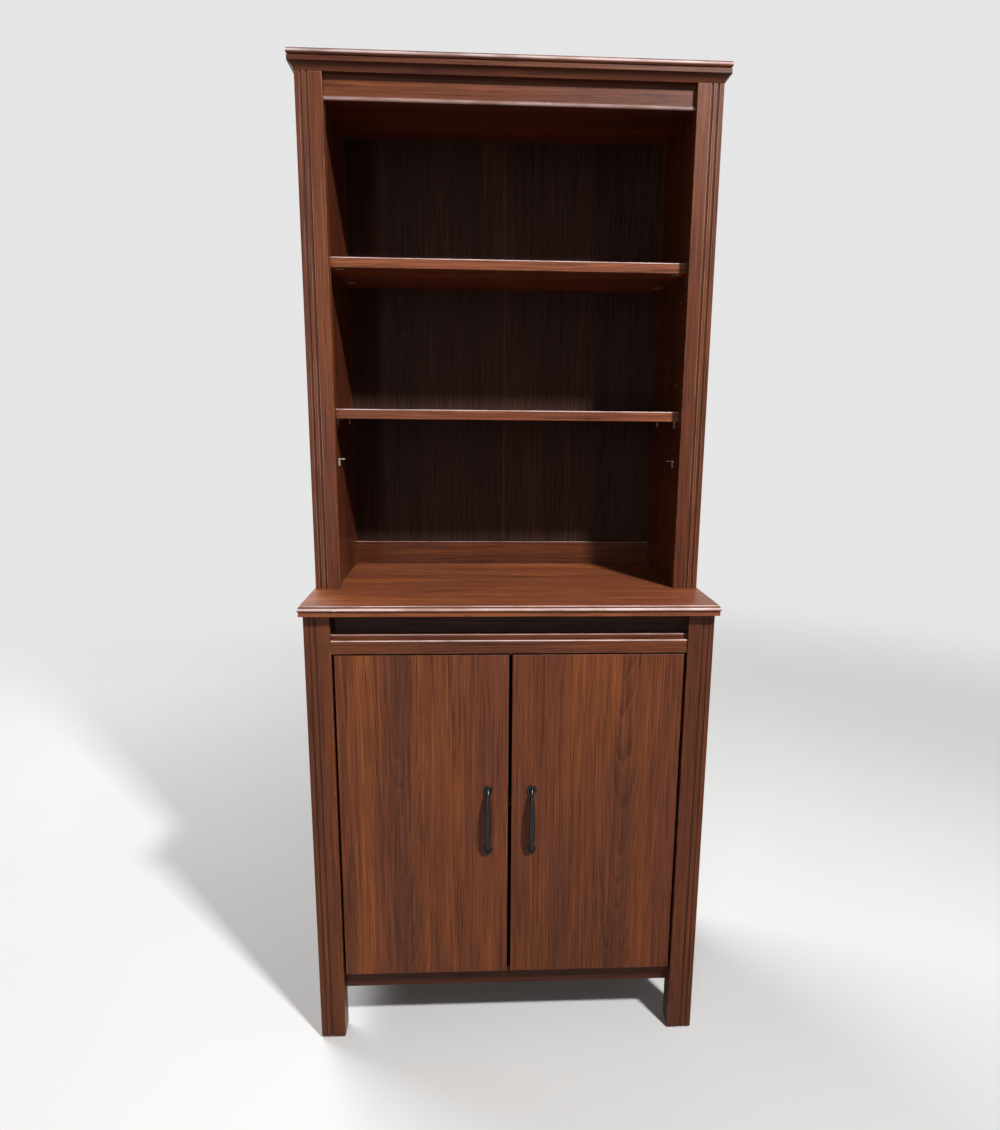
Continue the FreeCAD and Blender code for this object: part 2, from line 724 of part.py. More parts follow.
def cup_screw(x, z):
    return screw(small_screw_radius, small_screw_grip, small_screw_head_radius, small_screw_head,
                 (x, door_back_y + flange_thickness, z), (0, -1, 0))


def plate_screw(z):
    return screw(small_screw_radius, small_screw_grip, small_screw_head_radius, small_screw_head,
                 (plate_face_x, plate_screw_y, z), (1, 0, 0))


save_pair("hinge_cups", *[hinge_cup(z) for z in hinge_heights])
save_pair("hinge_arms", *[hinge_arm(z) for z in hinge_heights])
save_pair("hinge_plates", *[hinge_plate(z) for z in hinge_heights])
save_pair("hinge_pins", *[hinge_pin(z) for z in hinge_heights])
save_pair("hinge_cup_screws", *[cup_screw(*place) for z in hinge_heights for place in cup_screw_places(z)])
save_pair("hinge_plate_screws", *[plate_screw(z) for z in plate_screw_places])
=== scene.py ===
"""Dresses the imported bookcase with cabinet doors: wood print, printed back, metal fittings and a plain studio."""

import math

import bpy
import numpy as np
from bpy.props import FloatProperty, FloatVectorProperty, PointerProperty
from mathutils import Matrix, Vector


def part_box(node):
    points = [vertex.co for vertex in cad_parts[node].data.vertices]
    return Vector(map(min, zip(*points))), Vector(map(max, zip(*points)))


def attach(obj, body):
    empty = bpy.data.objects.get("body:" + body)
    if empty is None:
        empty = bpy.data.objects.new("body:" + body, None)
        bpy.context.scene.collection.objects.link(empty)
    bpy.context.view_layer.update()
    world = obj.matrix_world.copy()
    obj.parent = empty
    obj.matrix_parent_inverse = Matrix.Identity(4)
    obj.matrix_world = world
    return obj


bl_info = {
    "name": "Bookcase with cabinet doors",
    "version": (1, 0, 0),
    "blender": (4, 5, 0),
    "location": "View3D > Sidebar > Bookcase",
    "description": "Finishes for a two-stage bookcase: wood print, printed back, fittings and a plain studio",
    "category": "Object",
}

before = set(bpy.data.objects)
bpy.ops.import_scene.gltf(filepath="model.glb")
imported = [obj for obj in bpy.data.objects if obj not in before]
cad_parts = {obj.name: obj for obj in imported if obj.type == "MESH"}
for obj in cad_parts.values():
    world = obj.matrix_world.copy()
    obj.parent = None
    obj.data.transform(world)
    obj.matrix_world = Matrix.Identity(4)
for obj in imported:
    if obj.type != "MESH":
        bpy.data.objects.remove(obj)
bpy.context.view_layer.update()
SIDES = {"left": -1.0, "right": 1.0}

# Board: axes across the grain, through the board and along the grain, place of the heart line as a share of the
# width, its depth behind the middle of the board in metres, and its tilt along the grain.
UPRIGHT_BOARDS = {
    "left_hutch_post": ("xyz", -2.2, 0.030, 0.010),
    "right_hutch_post": ("xyz", 3.4, 0.024, 0.012),
    "left_hutch_rear_stile": ("xyz", 2.6, -0.020, 0.010),
    "right_hutch_rear_stile": ("xyz", -1.9, -0.020, 0.010),
    "left_hutch_side_panel": ("yxz", 0.55, 0.035, 0.050),
    "right_hutch_side_panel": ("yxz", 0.42, -0.035, -0.045),
    "left_front_leg": ("xyz", 3.1, 0.030, 0.010),
    "right_front_leg": ("xyz", -2.0, 0.026, 0.014),
    "left_rear_leg": ("xyz", -2.4, 0.030, 0.010),
    "right_rear_leg": ("xyz", 2.8, 0.030, 0.010),
    "left_base_side_panel": ("yxz", 0.46, 0.032, 0.060),
    "right_base_side_panel": ("yxz", 0.58, -0.032, -0.055),
}
CROSS_BOARDS = {
    "counter_top": ("yzx", 0.62, -0.040, 0.030),
    "crown_board": ("yzx", 0.30, -0.050, 0.020),
    "front_crown_cove": ("zyx", 4.0, 0.030, 0.010),
    "left_crown_cove": ("zxy", 4.0, 0.030, 0.010),
    "right_crown_cove": ("zxy", 4.0, -0.030, 0.010),
    "rear_crown_batten": ("yzx", 2.0, 0.030, 0.010),
    "hutch_top_panel": ("yzx", 0.45, 0.040, 0.030),
    "hutch_top_rail": ("zyx", 1.8, 0.030, 0.012),
    "hutch_counter_rail": ("zyx", -0.9, 0.026, 0.012),
    "lower_hutch_shelf": ("yzx", 0.50, -0.036, 0.030),
    "upper_hutch_shelf": ("yzx", 0.40, -0.036, -0.030),
    "base_shelf": ("yzx", 0.45, -0.040, 0.030),
    "base_floor_panel": ("yzx", 0.55, -0.040, 0.030),
    "frieze_board": ("zyx", 2.2, 0.030, 0.010),
    "moulded_rail": ("zyx", -1.4, 0.030, 0.010),
    "bottom_rail": ("zyx", 2.8, 0.030, 0.010),
    "rear_top_rail": ("zyx", 0.50, 0.030, 0.012),
}
DOOR_BOARDS = {
    "left_door": ("xyz", 0.35, 0.062, 0.070),
    "right_door": ("xyz", 0.65, 0.058, 0.062),
}
BACK_BOARDS = {
    "hutch_back_left_half": ("xyz", 0.40, 0.030, 0.035),
    "hutch_back_right_half": ("xyz", 0.55, 0.030, 0.040),
    "base_back_left_half": ("xyz", 0.55, 0.030, 0.035),
    "base_back_right_half": ("xyz", 0.45, 0.030, 0.040),
}

# Brightness of a board against the plain wood, by the end of its name. This is partly the boards' own tone and
# mostly painted light and shade: lighter where light falls fully (counter top, shelf fronts, left post and leg),
# darker where shade falls (bottom rail under the doors, counter rail, crown and coves, side panels), and left and
# right twins lit unevenly.
BOARD_TONES_AND_PAINTED_LIGHT = {
    "left_hutch_post": 0.92, "right_hutch_post": 0.72, "left_front_leg": 0.80, "right_front_leg": 0.68,
    "rear_leg": 0.75, "crown_board": 0.62, "crown_cove": 0.58, "hutch_top_rail": 0.72, "hutch_shelf": 1.30,
    "hutch_side_panel": 0.62, "hutch_counter_rail": 0.52, "counter_top": 1.45, "moulded_rail": 0.84,
    "bottom_rail": 0.50, "right_door": 0.93,
}
# First seed of each kind of board, from which its boards count on, and the strength of their rubbed edges.
UPRIGHT_SEED, CROSS_SEED, DOOR_SEED, BACK_SEED = 1, 31, 71, 91
UPRIGHT_WEAR, CROSS_WEAR, DOOR_WEAR = 0.35, 0.25, 0.20
SEED_STEP = (0.61, 0.37, 1.73)
# Strength of the painted shade in the flutes and of the wear and painted highlight on their rims, by the last word
# of the piece's name.
FLUTE_PAINTED_SHADE_AND_RIM = {"post": (0.60, 0.60), "leg": (0.50, 0.18)}
# Painted shade in a flute: share of the dark grain colour it darkens to.
FLUTE_PAINTED_SHADE = 0.35

# Noise of the wood grain: cycles per metre on each axis, with the grain along the third, and detail.
GRAIN_NOISE = {
    "slow": ((5.0, 5.0, 0.9), 2.0),
    "quick": ((26.0, 26.0, 5.0), 2.0),
    "streak": ((90.0, 90.0, 2.4), 3.0),
    "line": ((260.0, 260.0, 5.5), 3.0),
    "hair": ((780.0, 780.0, 20.0), 1.0),
}
# Noise masks: cycles per metre on each axis, detail, and a smooth step between two noise values, with the mask at
# both if that isn't zero and one.
PATCHES = {
    "ringed": ((30.0, 30.0, 3.2), 3.0, (0.38, 0.62, 0.05, 1.0)),
    "heart": ((7.0, 7.0, 2.4), 3.0, (0.36, 0.60, 0.25, 1.0)),
    "warm": ((18.0, 18.0, 1.2), 3.0, (0.44, 0.72, 0.0, 0.75)),
    "dusk": ((17.0, 17.0, 1.7), 3.0, (0.50, 0.74)),
    "fleck": ((280.0, 280.0, 8.0), 2.0, (0.56, 0.65)),
    "glint": ((230.0, 230.0, 5.0), 2.0, (0.55, 0.64)),
    "pore": ((1500.0, 1500.0, 38.0), 1.0, (0.60, 0.74)),
    "edge_reach": ((55.0, 55.0, 55.0), 3.0, (0.30, 0.70, 0.45, 1.5)),
    "edge": ((23.0, 23.0, 23.0), 2.0, (0.36, 0.64, 0.15, 1.0)),
    "line": ((14.0, 14.0, 60.0), 3.0, (0.32, 0.62, 0.45, 1.0)),
    "rim": ((60.0, 60.0, 9.0), 3.0, (0.38, 0.62, 0.2, 1.0)),
    "fibre": ((160.0, 160.0, 700.0), 4.0, (0.36, 0.66)),
    "weave": ((700.0, 700.0, 160.0), 4.0, (0.36, 0.66)),
    "floor": ((3.0, 3.0, 3.0), 2.0, (0.3, 0.7)),
}
# Weights in the tone of the wood: noise counts from its middle value, masks from zero.
NOISE_WEIGHTS = {"streak": 0.58, "line": 0.95, "hair": 0.70}
MASK_WEIGHTS = {"fleck": -0.30, "glint": 0.34, "pore": -0.18}
MIDDLE = 0.5
# Reach in metres by which slow and quick noise bend the rings.
SLOW_BEND, QUICK_BEND = (0.05, 0.05, 0.0), (0.009, 0.009, 0.0)
# Shares of a ring where its late edge comes and goes and its early edge goes, and the weights of both.
LATE_RISE, LATE_FALL, EARLY_FALL = (0.45, 0.92), (1.0, 0.94), (0.22, 0.06)
EARLY_WEIGHT, LATE_WEIGHT = 0.22, -0.30
# Distances from the heart line between which its dark band fades, and the strength of band and dusk.
HEART_FADE = (0.048, 0.008)
HEART_SHADE, DUSK_SHADE = 0.48, 0.40
# Lowest tone, and the powers by which green and blue follow it, so that dark grain is redder.
LOWEST_TONE, GREEN_POWER, BLUE_POWER = 0.15, 1.15, 1.25
LINE_ROUGHNESS, PORE_ROUGHNESS, HAIR_RELIEF = 0.30, 0.10, 0.4
# Depth in metres of the print's relief, and how strongly wood and back reflect.
RELIEF_DEPTH = 0.00006
WOOD_GLOSS, BACK_GLOSS = 0.22, 0.08
# Back: roughness of its print, what its bare face adds, and the depths in metres between which the print ends.
BACK_ROUGHNESS, BARE_ROUGHNESS, PRINT_DEPTH = 0.55, 0.28, (0.0005, 0.0008)

# Fades of rubbed edges and lines in their own widths, and the depths in metres where a drilled hole begins.
EDGE_FADE, LINE_FADE, HOLE_DEPTH = (1.0, 0.15), (1.0, 0.2), (0.0004, 0.0008)
# Flutes: fade of the painted shade and place and fade of the rim's wear and painted highlight in half widths, and
# the depths in metres where both end.
FLUTE_FADE, RIM_PLACE, RIM_FADE = (1.0, 0.55), 1.22, (0.40, 0.05)
FLUTE_DEPTH, RIM_DEPTH = (0.004, 0.003), (0.0006, 0.0002)
# Speckle: cycles per metre of its two noises, share of the fine one in the spots, their step, added roughness.
FINE_SCALE, CLOUD_SCALE, FINE_SHARE, SPOT_STEP = 1600.0, 110.0, 0.45, (0.62, 0.92)
FINE_ROUGHNESS, CLOUD_ROUGHNESS = 0.12, 0.4

# Lines round front and ends of a moulded board, painted highlights on the beads and painted shade in the grooves:
# inset from its faces, drop below its top, width, strength, colour.
PAINTED_LIGHT_EDGE_LINES = {
    "counter_top": (
        (0.0008, 0.0066, 0.0034, 1.0, "painted_highlight"),
        (0.0038, 0.0008, 0.0018, 0.65, "painted_highlight"),
        (0.0040, 0.0034, 0.0018, 0.9, "groove"),
        (0.0040, 0.0128, 0.0018, 0.7, "groove"),
    ),
    "crown_board": ((0.0010, 0.0050, 0.0034, 0.7, "painted_highlight"), (0.0040, 0.0118, 0.0020, 0.8, "groove")),
}
# Painted highlights along the front arrises of a board, where light catches them: inset, the edge they keep to,
# height above that edge, width and strength.
PAINTED_HIGHLIGHT_LINES = {
    "moulded_rail": ((0.0008, "foot", 0.0247, 0.0020, 0.82), (0.0098, "top", -0.0008, 0.0016, 0.45)),
    "hutch_top_rail": ((0.0008, "foot", 0.0035, 0.0056, 0.30),),
    "hutch_counter_rail": ((0.0, "top", 0.0, 0.0018, 0.45),),
    "lower_hutch_shelf": ((0.0, "top", 0.0, 0.0024, 0.85),),
    "upper_hutch_shelf": ((0.0, "top", 0.0, 0.0024, 0.85),),
}
# Painted highlight on the counter at the foot of its rail: width, strength, colour.
PAINTED_FOOT_HIGHLIGHT = (0.0014, 0.5, "painted_highlight")
ACROSS_FRONT, ACROSS_END = (0.0, 1.0, 1.0), (1.0, 0.0, 1.0)
# Chip in the counter's edge: place from the middle, front and top, reach, linear colour, and cycles per metre,
# strength and step of the noise that frays it.
CHIP_PLACE, CHIP_REACH = (-0.325, 0.0012, -0.0085), (0.0065, 0.0020, 0.0016)
CHIP_COLOUR = (0.72, 0.66, 0.58, 1.0)
CHIP_SCALE, CHIP_FRAY, CHIP_STEP = 420.0, 1.6, (1.62, 1.50)

# Metals, plastics and beech: share of spots, roughness, metallic, gloss, depth in metres, and spot colour if the
# panel has none.
SPECKLES = {
    "joint_strip": (0.5, 0.55, 0.0, 0.15, 0.00002, None),
    "nail_steel": (0.5, 0.4, 1.0, 0.5, 0.00002, (0.45, 0.42, 0.38)),
    "handle_black": (0.05, 0.22, 0.0, 0.34, 0.000004, None),
    "handle_screw": (0.5, 0.32, 1.0, 0.5, 0.00002, (0.5, 0.49, 0.47)),
    "hinge_steel": (0.4, 0.28, 1.0, 0.5, 0.00002, (0.6, 0.6, 0.6)),
    "screw_zinc": (0.5, 0.32, 1.0, 0.5, 0.00002, (0.52, 0.51, 0.48)),
    "support_zinc": (0.4, 0.50, 0.0, 0.2, 0.00002, (0.62, 0.60, 0.56)),
    "glide_plastic": (0.5, 0.55, 0.0, 0.5, 0.00002, (0.22, 0.21, 0.2)),
    "stop_plastic": (0.5, 0.5, 0.0, 0.5, 0.00002, (0.32, 0.23, 0.18)),
    "dowel_beech": (0.6, 0.7, 0.0, 0.5, 0.00002, (0.6, 0.45, 0.3)),
}
# Stretch that turns speckle into the dowels' fibres.
DOWEL_STRETCH = (1.0, 1.0, 0.08)

# Nail head, ring by ring: share of its radius, and height in metres.
NAIL_PROFILE = ((0.35, 0.00065), (0.70, 0.00055), (0.92, 0.00035), (1.0, 0.00015), (1.0, 0.0))
NAIL_AROUND = 10
# Screw cap: shares of the radius ring by ring, height of its dome in metres and of its rim in recess depths.
CAP_SHARES = (0.12, 0.24, 0.36, 0.48, 0.60, 0.74, 0.88, 0.97, 0.97)
CAP_DOME, CAP_RIM, CAP_AROUND = 0.0003, 0.55, 32
# Cross recess: share of the recess depth, and reach and half width of its arms in radii.
RECESS_SHARE, RECESS_REACH, RECESS_ARM = 0.9, 0.62, 0.14

# Lamp: place, and width and height in metres.
LAMPS = {
    "key": ((1.52, -2.55, 3.75), (0.3, 0.3)),
    "fill": ((-1.0, -3.6, 1.45), (0.3, 1.9)),
    "rear": ((-2.6, 2.6, 3.8), (3.0, 3.0)),
}
LAMP_AIM = Vector((0.0, 0.0, 0.95))
# Floor: radius, rings and points around, distances between which it fades to the backdrop, and its darkest tone.
FLOOR_RADIUS, FLOOR_RINGS, FLOOR_AROUND = 60.0, 12, 48
FLOOR_FADE, FLOOR_TONE = (1.6, 4.5), 0.985
FLOOR_ROUGHNESS, FLOOR_GLOSS = 0.9, 0.1
SENSOR_WIDTH = 36.0


def swatch(name, description, default):
    """A colour written as it is seen on a screen."""
    return FloatVectorProperty(
        name=name, description=description, subtype="COLOR_GAMMA", size=3, min=0.0, max=1.0, default=default
    )


# Settings of a number on the panel, by its kind.
KINDS = {
    "length": {"unit": "LENGTH", "min": 0.0, "precision": 5},
    "share": {"subtype": "FACTOR", "min": 0.0, "max": 1.0},
    "power": {"unit": "POWER", "min": 0.0},
    "angle": {"subtype": "ANGLE"},
    "lens": {"unit": "CAMERA"},
    "strength": {"min": 0.0},
}


def number(kind, name, description, default):
    """A number of one of the kinds."""
    return FloatProperty(name=name, description=description, default=default, **KINDS[kind])


class BookcaseWood(bpy.types.PropertyGroup):
    """Colours and grain of the wood print on the boards."""

    dark: swatch("Dark grain", "Colour of the dark streaks and late rings", (0.28, 0.155, 0.115))
    middle: swatch("Wood", "Main colour of the boards", (0.430, 0.228, 0.140))
    light: swatch("Light grain", "Colour of the light, more orange streaks", (0.545, 0.300, 0.145))
    worn: swatch("Worn edge", "Colour of the rubbed edges", (0.70, 0.53, 0.44))
    # Painted highlight: colour of the bright lines painted on beads and arrises where light catches them.
    painted_highlight: swatch("Painted bead highlight", "Colour of the brightest rubbed beads", (0.95, 0.85, 0.83))
    core: swatch("Core", "Colour of the bare board inside drilled holes", (0.80, 0.70, 0.56))
    # Painted shade: colour of the dark lines painted in the moulded grooves of counter and crown.
    groove: swatch("Groove", "Colour deep in the moulded grooves", (0.15, 0.085, 0.07))
    ring: number("length", "Ring spacing", "Width of one growth ring", 0.0046)
    wear: number("length", "Edge wear", "Width of the rubbed strip along an edge", 0.0016)
    first_flute: number("share", "First flute", "Place of the outer groove across a post", 0.22)
    second_flute: number("share", "Second flute", "Place of the inner groove across a post", 0.44)
    flute_half: number("length", "Flute half width", "Half the width of a groove", 0.0023)
    roughness: number("share", "Roughness", "Middle roughness of the satin print", 0.40)


class BookcaseBack(bpy.types.PropertyGroup):
    """Colours and nails of the two-part back."""

    # Print colours darkened and greyed below the print's lit brown: partly the print, partly painted shade for the
    # shade inside the bays.
    dark: swatch("Dark print", "Dark streaks of the printed face", (0.19, 0.125, 0.11))
    middle: swatch("Print", "Main colour of the printed face", (0.245, 0.168, 0.145))
    light: swatch("Light print", "Light streaks of the printed face", (0.30, 0.20, 0.165))
    bare: swatch("Bare face", "Rear face of the hardboard", (0.47, 0.34, 0.235))
    fibre: swatch("Fibre", "Dark fibres in the bare face", (0.33, 0.225, 0.15))
    seam: swatch("Joint strip", "Plastic strip between the two halves", (0.31, 0.20, 0.155))
    nail_gap: number("length", "Nail spacing", "Largest distance between two nails", 0.095)
    nail_radius: number("length", "Nail head", "Radius of a nail head", 0.0024)
    nail_margin: number("length", "Nail margin", "Distance of the nails from the edge of the back", 0.012)


class BookcaseFittings(bpy.types.PropertyGroup):
    """Colours and screw places of handles, hinges and supports."""

    black: swatch("Handle", "Satin black of the handles", (0.055, 0.052, 0.056))
    rubbed: swatch("Handle wear", "Metal that shows where a handle is rubbed", (0.20, 0.19, 0.19))
    steel: swatch("Hinge steel", "Plated steel of the hinges", (0.78, 0.78, 0.79))
    screw: swatch("Screws", "Zinc-plated screws", (0.72, 0.72, 0.70))
    zinc: swatch("Supports", "Shelf supports and shelf cams", (0.80, 0.79, 0.76))
    stop: swatch("Door stop", "Brown plastic of the door stop", (0.24, 0.16, 0.13))
    glide: swatch("Floor glide", "Dark plastic under the feet", (0.13, 0.125, 0.12))
    beech: swatch("Dowel", "Bare beech of the dowels", (0.74, 0.60, 0.44))
    cup_screw_gap: number("length", "Cup screw spacing", "Distance between the screws of a hinge cup", 0.045)
    plate_screw_gap: number("length", "Plate screw spacing", "Distance between the screws of a hinge plate", 0.032)
    recess_depth: number("length", "Recess depth", "Depth of the cross recess in a screw head", 0.0006)


class BookcaseStage(bpy.types.PropertyGroup):
    """Camera, floor and lamps."""

    place: FloatVectorProperty(
        name="Camera", description="Place of the camera", subtype="TRANSLATION", size=3,
        default=(-0.071806, -1.763868, 1.275351),
    )
    yaw: number("angle", "Turn", "Turn to the left", math.radians(-3.125))
    pitch: number("angle", "Tilt", "Downward tilt", math.radians(12.521))
    roll: number("angle", "Roll", "Roll about the view line", math.radians(0.562))
    lens: number("lens", "Lens", "Focal length", 26.990)
    shift: FloatVectorProperty(
        name="Shift", description="Shift of the frame", subtype="XYZ", size=2, default=(-0.01616, 0.03240)
    )
    floor: swatch("Floor", "Plain pale floor", (0.91, 0.91, 0.905))
    backdrop: swatch("Backdrop", "Pale colour around the object", (0.90, 0.90, 0.90))
    bounce: number("share", "Bounce", "Share of the floor's light that comes back to the object", 0.10)
    key: number("power", "Key", "Power of the main lamp", 186.0)
    fill: number("power", "Fill", "Power of the fill lamp", 14.0)
    rear: number("power", "Rear", "Power of the lamp behind", 185.0)
    ambient: number("strength", "Ambient", "Strength of the even light", 0.085)


def linear(colour, share=1.0):
    """A share of a screen colour as the linear RGBA that a shader socket takes, by the sRGB curve."""
    shown = np.asarray(colour, float)
    bright = ((shown + 0.055) / 1.055) ** 2.4
    return (*(share * np.where(shown <= 0.04045, shown / 12.92, bright)), 1.0)


class NodeSheet:
    """Writes nodes into one tree; most calls return the socket that carries the result."""

    def __init__(self, tree):
        self.tree = tree

    def feed(self, socket, value):
        """Links a socket, or writes a plain value."""
        if isinstance(value, bpy.types.NodeSocket):
            self.tree.links.new(value, socket)
        else:
            socket.default_value = value

    def node(self, kind, values=(), **settings):
        """A new node with its first inputs fed in order; None leaves an input as it is."""
        made = self.tree.nodes.new(kind)
        for key, value in settings.items():
            setattr(made, key, value)
        for socket, value in zip(made.inputs, values):
            if value is not None:
                self.feed(socket, value)
        return made

    def calc(self, operation, *values):
        return self.node("ShaderNodeMath", values, operation=operation).outputs[0]

    def times(self, first, *others):
        """Product of values, taken in order."""
        for other in others:
            first = self.calc("MULTIPLY", first, other)
        return first

    def vector(self, operation, *values):
        return self.node("ShaderNodeVectorMath", values, operation=operation).outputs["Vector"]

    def measure(self, vector):
        return self.node("ShaderNodeVectorMath", (vector,), operation="LENGTH").outputs["Value"]

    def split(self, vector):
        return self.node("ShaderNodeSeparateXYZ", (vector,)).outputs

    def join(self, *values):
        return self.node("ShaderNodeCombineXYZ", values).outputs[0]

    def step(self, value, low, high, bottom=0.0, top=1.0):
        """Smooth step of value from low to high."""
        values = (value, low, high, bottom, top)
        return self.node("ShaderNodeMapRange", values, interpolation_type="SMOOTHSTEP").outputs[0]

    def noise(self, vector, stretch, detail=2.0):
        """Noise on a vector scaled by stretch, in cycles per metre for each axis."""
        scaled = self.vector("MULTIPLY", vector, stretch)
        return self.node("ShaderNodeTexNoise", (scaled, None, 1.0, detail)).outputs

    def patches(self, vector, name):
        """One of the noise masks in PATCHES."""
        stretch, detail, limits = PATCHES[name]
        return self.step(self.noise(vector, stretch, detail)["Fac"], *limits)

    def mix(self, factor, first, second, blend="MIX"):
        made = self.node("ShaderNodeMix", data_type="RGBA", blend_type=blend)
        for place, value in ((0, factor), (6, first), (7, second)):
            self.feed(made.inputs[place], value)
        return made.outputs[2]

    def group(self, name, **values):
        """A use of one of the shared groups; returns its outputs."""
        made = self.node("ShaderNodeGroup", node_tree=shared_group(name))
        for key, value in values.items():
            self.feed(made.inputs[key], value)
        return made.outputs

    def place(self):
        return self.node("ShaderNodeTexCoord").outputs["Object"]

    def looks(self):
        """One for a ray that looks at the studio: from the camera, off a gloss or through a clear piece."""
        path = self.node("ShaderNodeLightPath").outputs
        direct = self.calc("MAXIMUM", path["Is Camera Ray"], path["Is Glossy Ray"])
        return self.calc("MAXIMUM", direct, path["Is Transmission Ray"])


def write_grain(sheet, given, out):
    """Flat-sawn wood with its grain along Z.

    The rings are circles r = sqrt(x^2 + (y + tilt z)^2) about a heart line that leans behind the face, so the face
    cuts them into nested arches; r / spacing, bent by noise, gives each ring a dark late edge and a pale early one.
    Streaks, lines, flecks, glints and pores are noise stretched along Z.
    """
    seeded = sheet.vector("ADD", given["Position"], given["Seed"])
    noise = {name: sheet.noise(seeded, *values) for name, values in GRAIN_NOISE.items()}
    mask = {name: sheet.patches(seeded, name) for name in MASK_WEIGHTS}
    slow, quick = (sheet.vector("SUBTRACT", noise[name]["Color"], [MIDDLE] * 3) for name in ("slow", "quick"))
    bend = sheet.vector("MULTIPLY_ADD", slow, SLOW_BEND, sheet.vector("MULTIPLY", quick, QUICK_BEND))
    bent = sheet.vector("ADD", sheet.vector("SUBTRACT", given["Position"], given["Heart"]), bend)
    x, y, z = sheet.split(bent)
    leaning = sheet.calc("MULTIPLY_ADD", z, given["Tilt"], y)
    rings = sheet.calc("DIVIDE", sheet.measure(sheet.join(x, leaning)), given["Spacing"])
    phase = sheet.calc("FRACT", rings)
    late = sheet.times(sheet.step(phase, *LATE_RISE), sheet.step(phase, *LATE_FALL))
    early = sheet.step(phase, *EARLY_FALL)
    heart = sheet.times(sheet.step(sheet.calc("ABSOLUTE", x), *HEART_FADE), sheet.patches(seeded, "heart"))

    colour = sheet.mix(sheet.patches(seeded, "warm"), given["Middle"], given["Light"])
    dusk = sheet.times(sheet.patches(seeded, "dusk"), DUSK_SHADE)
    colour = sheet.mix(sheet.calc("MAXIMUM", sheet.times(heart, HEART_SHADE), dusk), colour, given["Dark"])
    tone = 1.0
    for name, weight in NOISE_WEIGHTS.items():
        tone = sheet.calc("ADD", tone, sheet.calc("MULTIPLY_ADD", noise[name]["Fac"], weight, -MIDDLE * weight))
    ringed = sheet.calc("MULTIPLY_ADD", early, EARLY_WEIGHT, sheet.times(late, LATE_WEIGHT))
    tone = sheet.calc("ADD", tone, sheet.times(sheet.patches(seeded, "ringed"), ringed))
    for name, weight in MASK_WEIGHTS.items():
        tone = sheet.calc("MULTIPLY_ADD", mask[name], weight, tone)
    # Times the board's tone, which is partly its own tone and mostly painted light and shade.
    tone = sheet.times(sheet.calc("MAXIMUM", tone, LOWEST_TONE), given["Tone"])
    reddened = sheet.join(tone, sheet.calc("POWER", tone, GREEN_POWER), sheet.calc("POWER", tone, BLUE_POWER))
    sheet.feed(out["Color"], sheet.mix(1.0, colour, reddened, "MULTIPLY"))
    line, hair, pore = noise["line"]["Fac"], noise["hair"]["Fac"], mask["pore"]
    rough = sheet.calc("MULTIPLY_ADD", sheet.calc("SUBTRACT", line, MIDDLE), LINE_ROUGHNESS, given["Roughness"])
    sheet.feed(out["Roughness"], sheet.calc("MULTIPLY_ADD", pore, PORE_ROUGHNESS, rough))
    sheet.feed(out["Relief"], sheet.calc("SUBTRACT", sheet.calc("MULTIPLY_ADD", hair, HAIR_RELIEF, line), pore))


def write_arris(sheet, given, out):
    """Rubbed edges of a box-shaped board.

    The distances to the nearer face on each axis are sorted; the middle one is small only along an edge of the box,
    and the smallest one is large only inside the board, as in a drilled hole.
    """
    place = given["Position"]
    from_low = sheet.vector("SUBTRACT", place, given["Low"])
    from_high = sheet.vector("SUBTRACT", given["High"], place)
    x, y, z = sheet.split(sheet.vector("MINIMUM", from_low, from_high))
    smaller = sheet.calc("MINIMUM", x, y)
    larger = sheet.calc("MAXIMUM", x, y)
    middle = sheet.calc("MAXIMUM", smaller, sheet.calc("MINIMUM", larger, z))
    reach = sheet.times(given["Width"], sheet.patches(place, "edge_reach"))
    fade = sheet.step(sheet.calc("DIVIDE", middle, reach), *EDGE_FADE)
    sheet.feed(out["Wear"], sheet.times(fade, sheet.patches(place, "edge"), given["Amount"]))
    sheet.feed(out["Inside"], sheet.step(sheet.calc("MINIMUM", smaller, z), *HOLE_DEPTH))


def write_painted_light_line(sheet, given, out):
    """A painted line along an axis, used for painted highlights and painted groove shade: the mask falls off with
    the distance from the line in the plane across it.
    """
    away = sheet.vector("MULTIPLY", sheet.vector("SUBTRACT", given["Position"], given["Line"]), given["Across"])
    fade = sheet.step(sheet.calc("DIVIDE", sheet.measure(away), given["Width"]), *LINE_FADE)
    sheet.feed(out["Wear"], sheet.times(fade, sheet.patches(given["Position"], "line"), given["Amount"]))


def write_fluting(sheet, given, out):
    """Two upright grooves: painted shade towards the middle of a groove, and wear with a painted highlight on a rim
    a little outside its edge.
    """
    x, y, _ = sheet.split(given["Position"])
    first, second = (sheet.calc("ABSOLUTE", sheet.calc("SUBTRACT", x, given[end])) for end in ("First", "Second"))
    away = sheet.calc("DIVIDE", sheet.calc("MINIMUM", first, second), given["Half"])
    behind = sheet.calc("SUBTRACT", y, given["Front"])
    sheet.feed(out["Dusk"], sheet.times(sheet.step(away, *FLUTE_FADE), sheet.step(behind, *FLUTE_DEPTH)))
    rim = sheet.step(sheet.calc("ABSOLUTE", sheet.calc("SUBTRACT", away, RIM_PLACE)), *RIM_FADE)
    broken = sheet.patches(given["Position"], "rim")
    sheet.feed(out["Rim"], sheet.times(rim, sheet.step(behind, *RIM_DEPTH), broken))


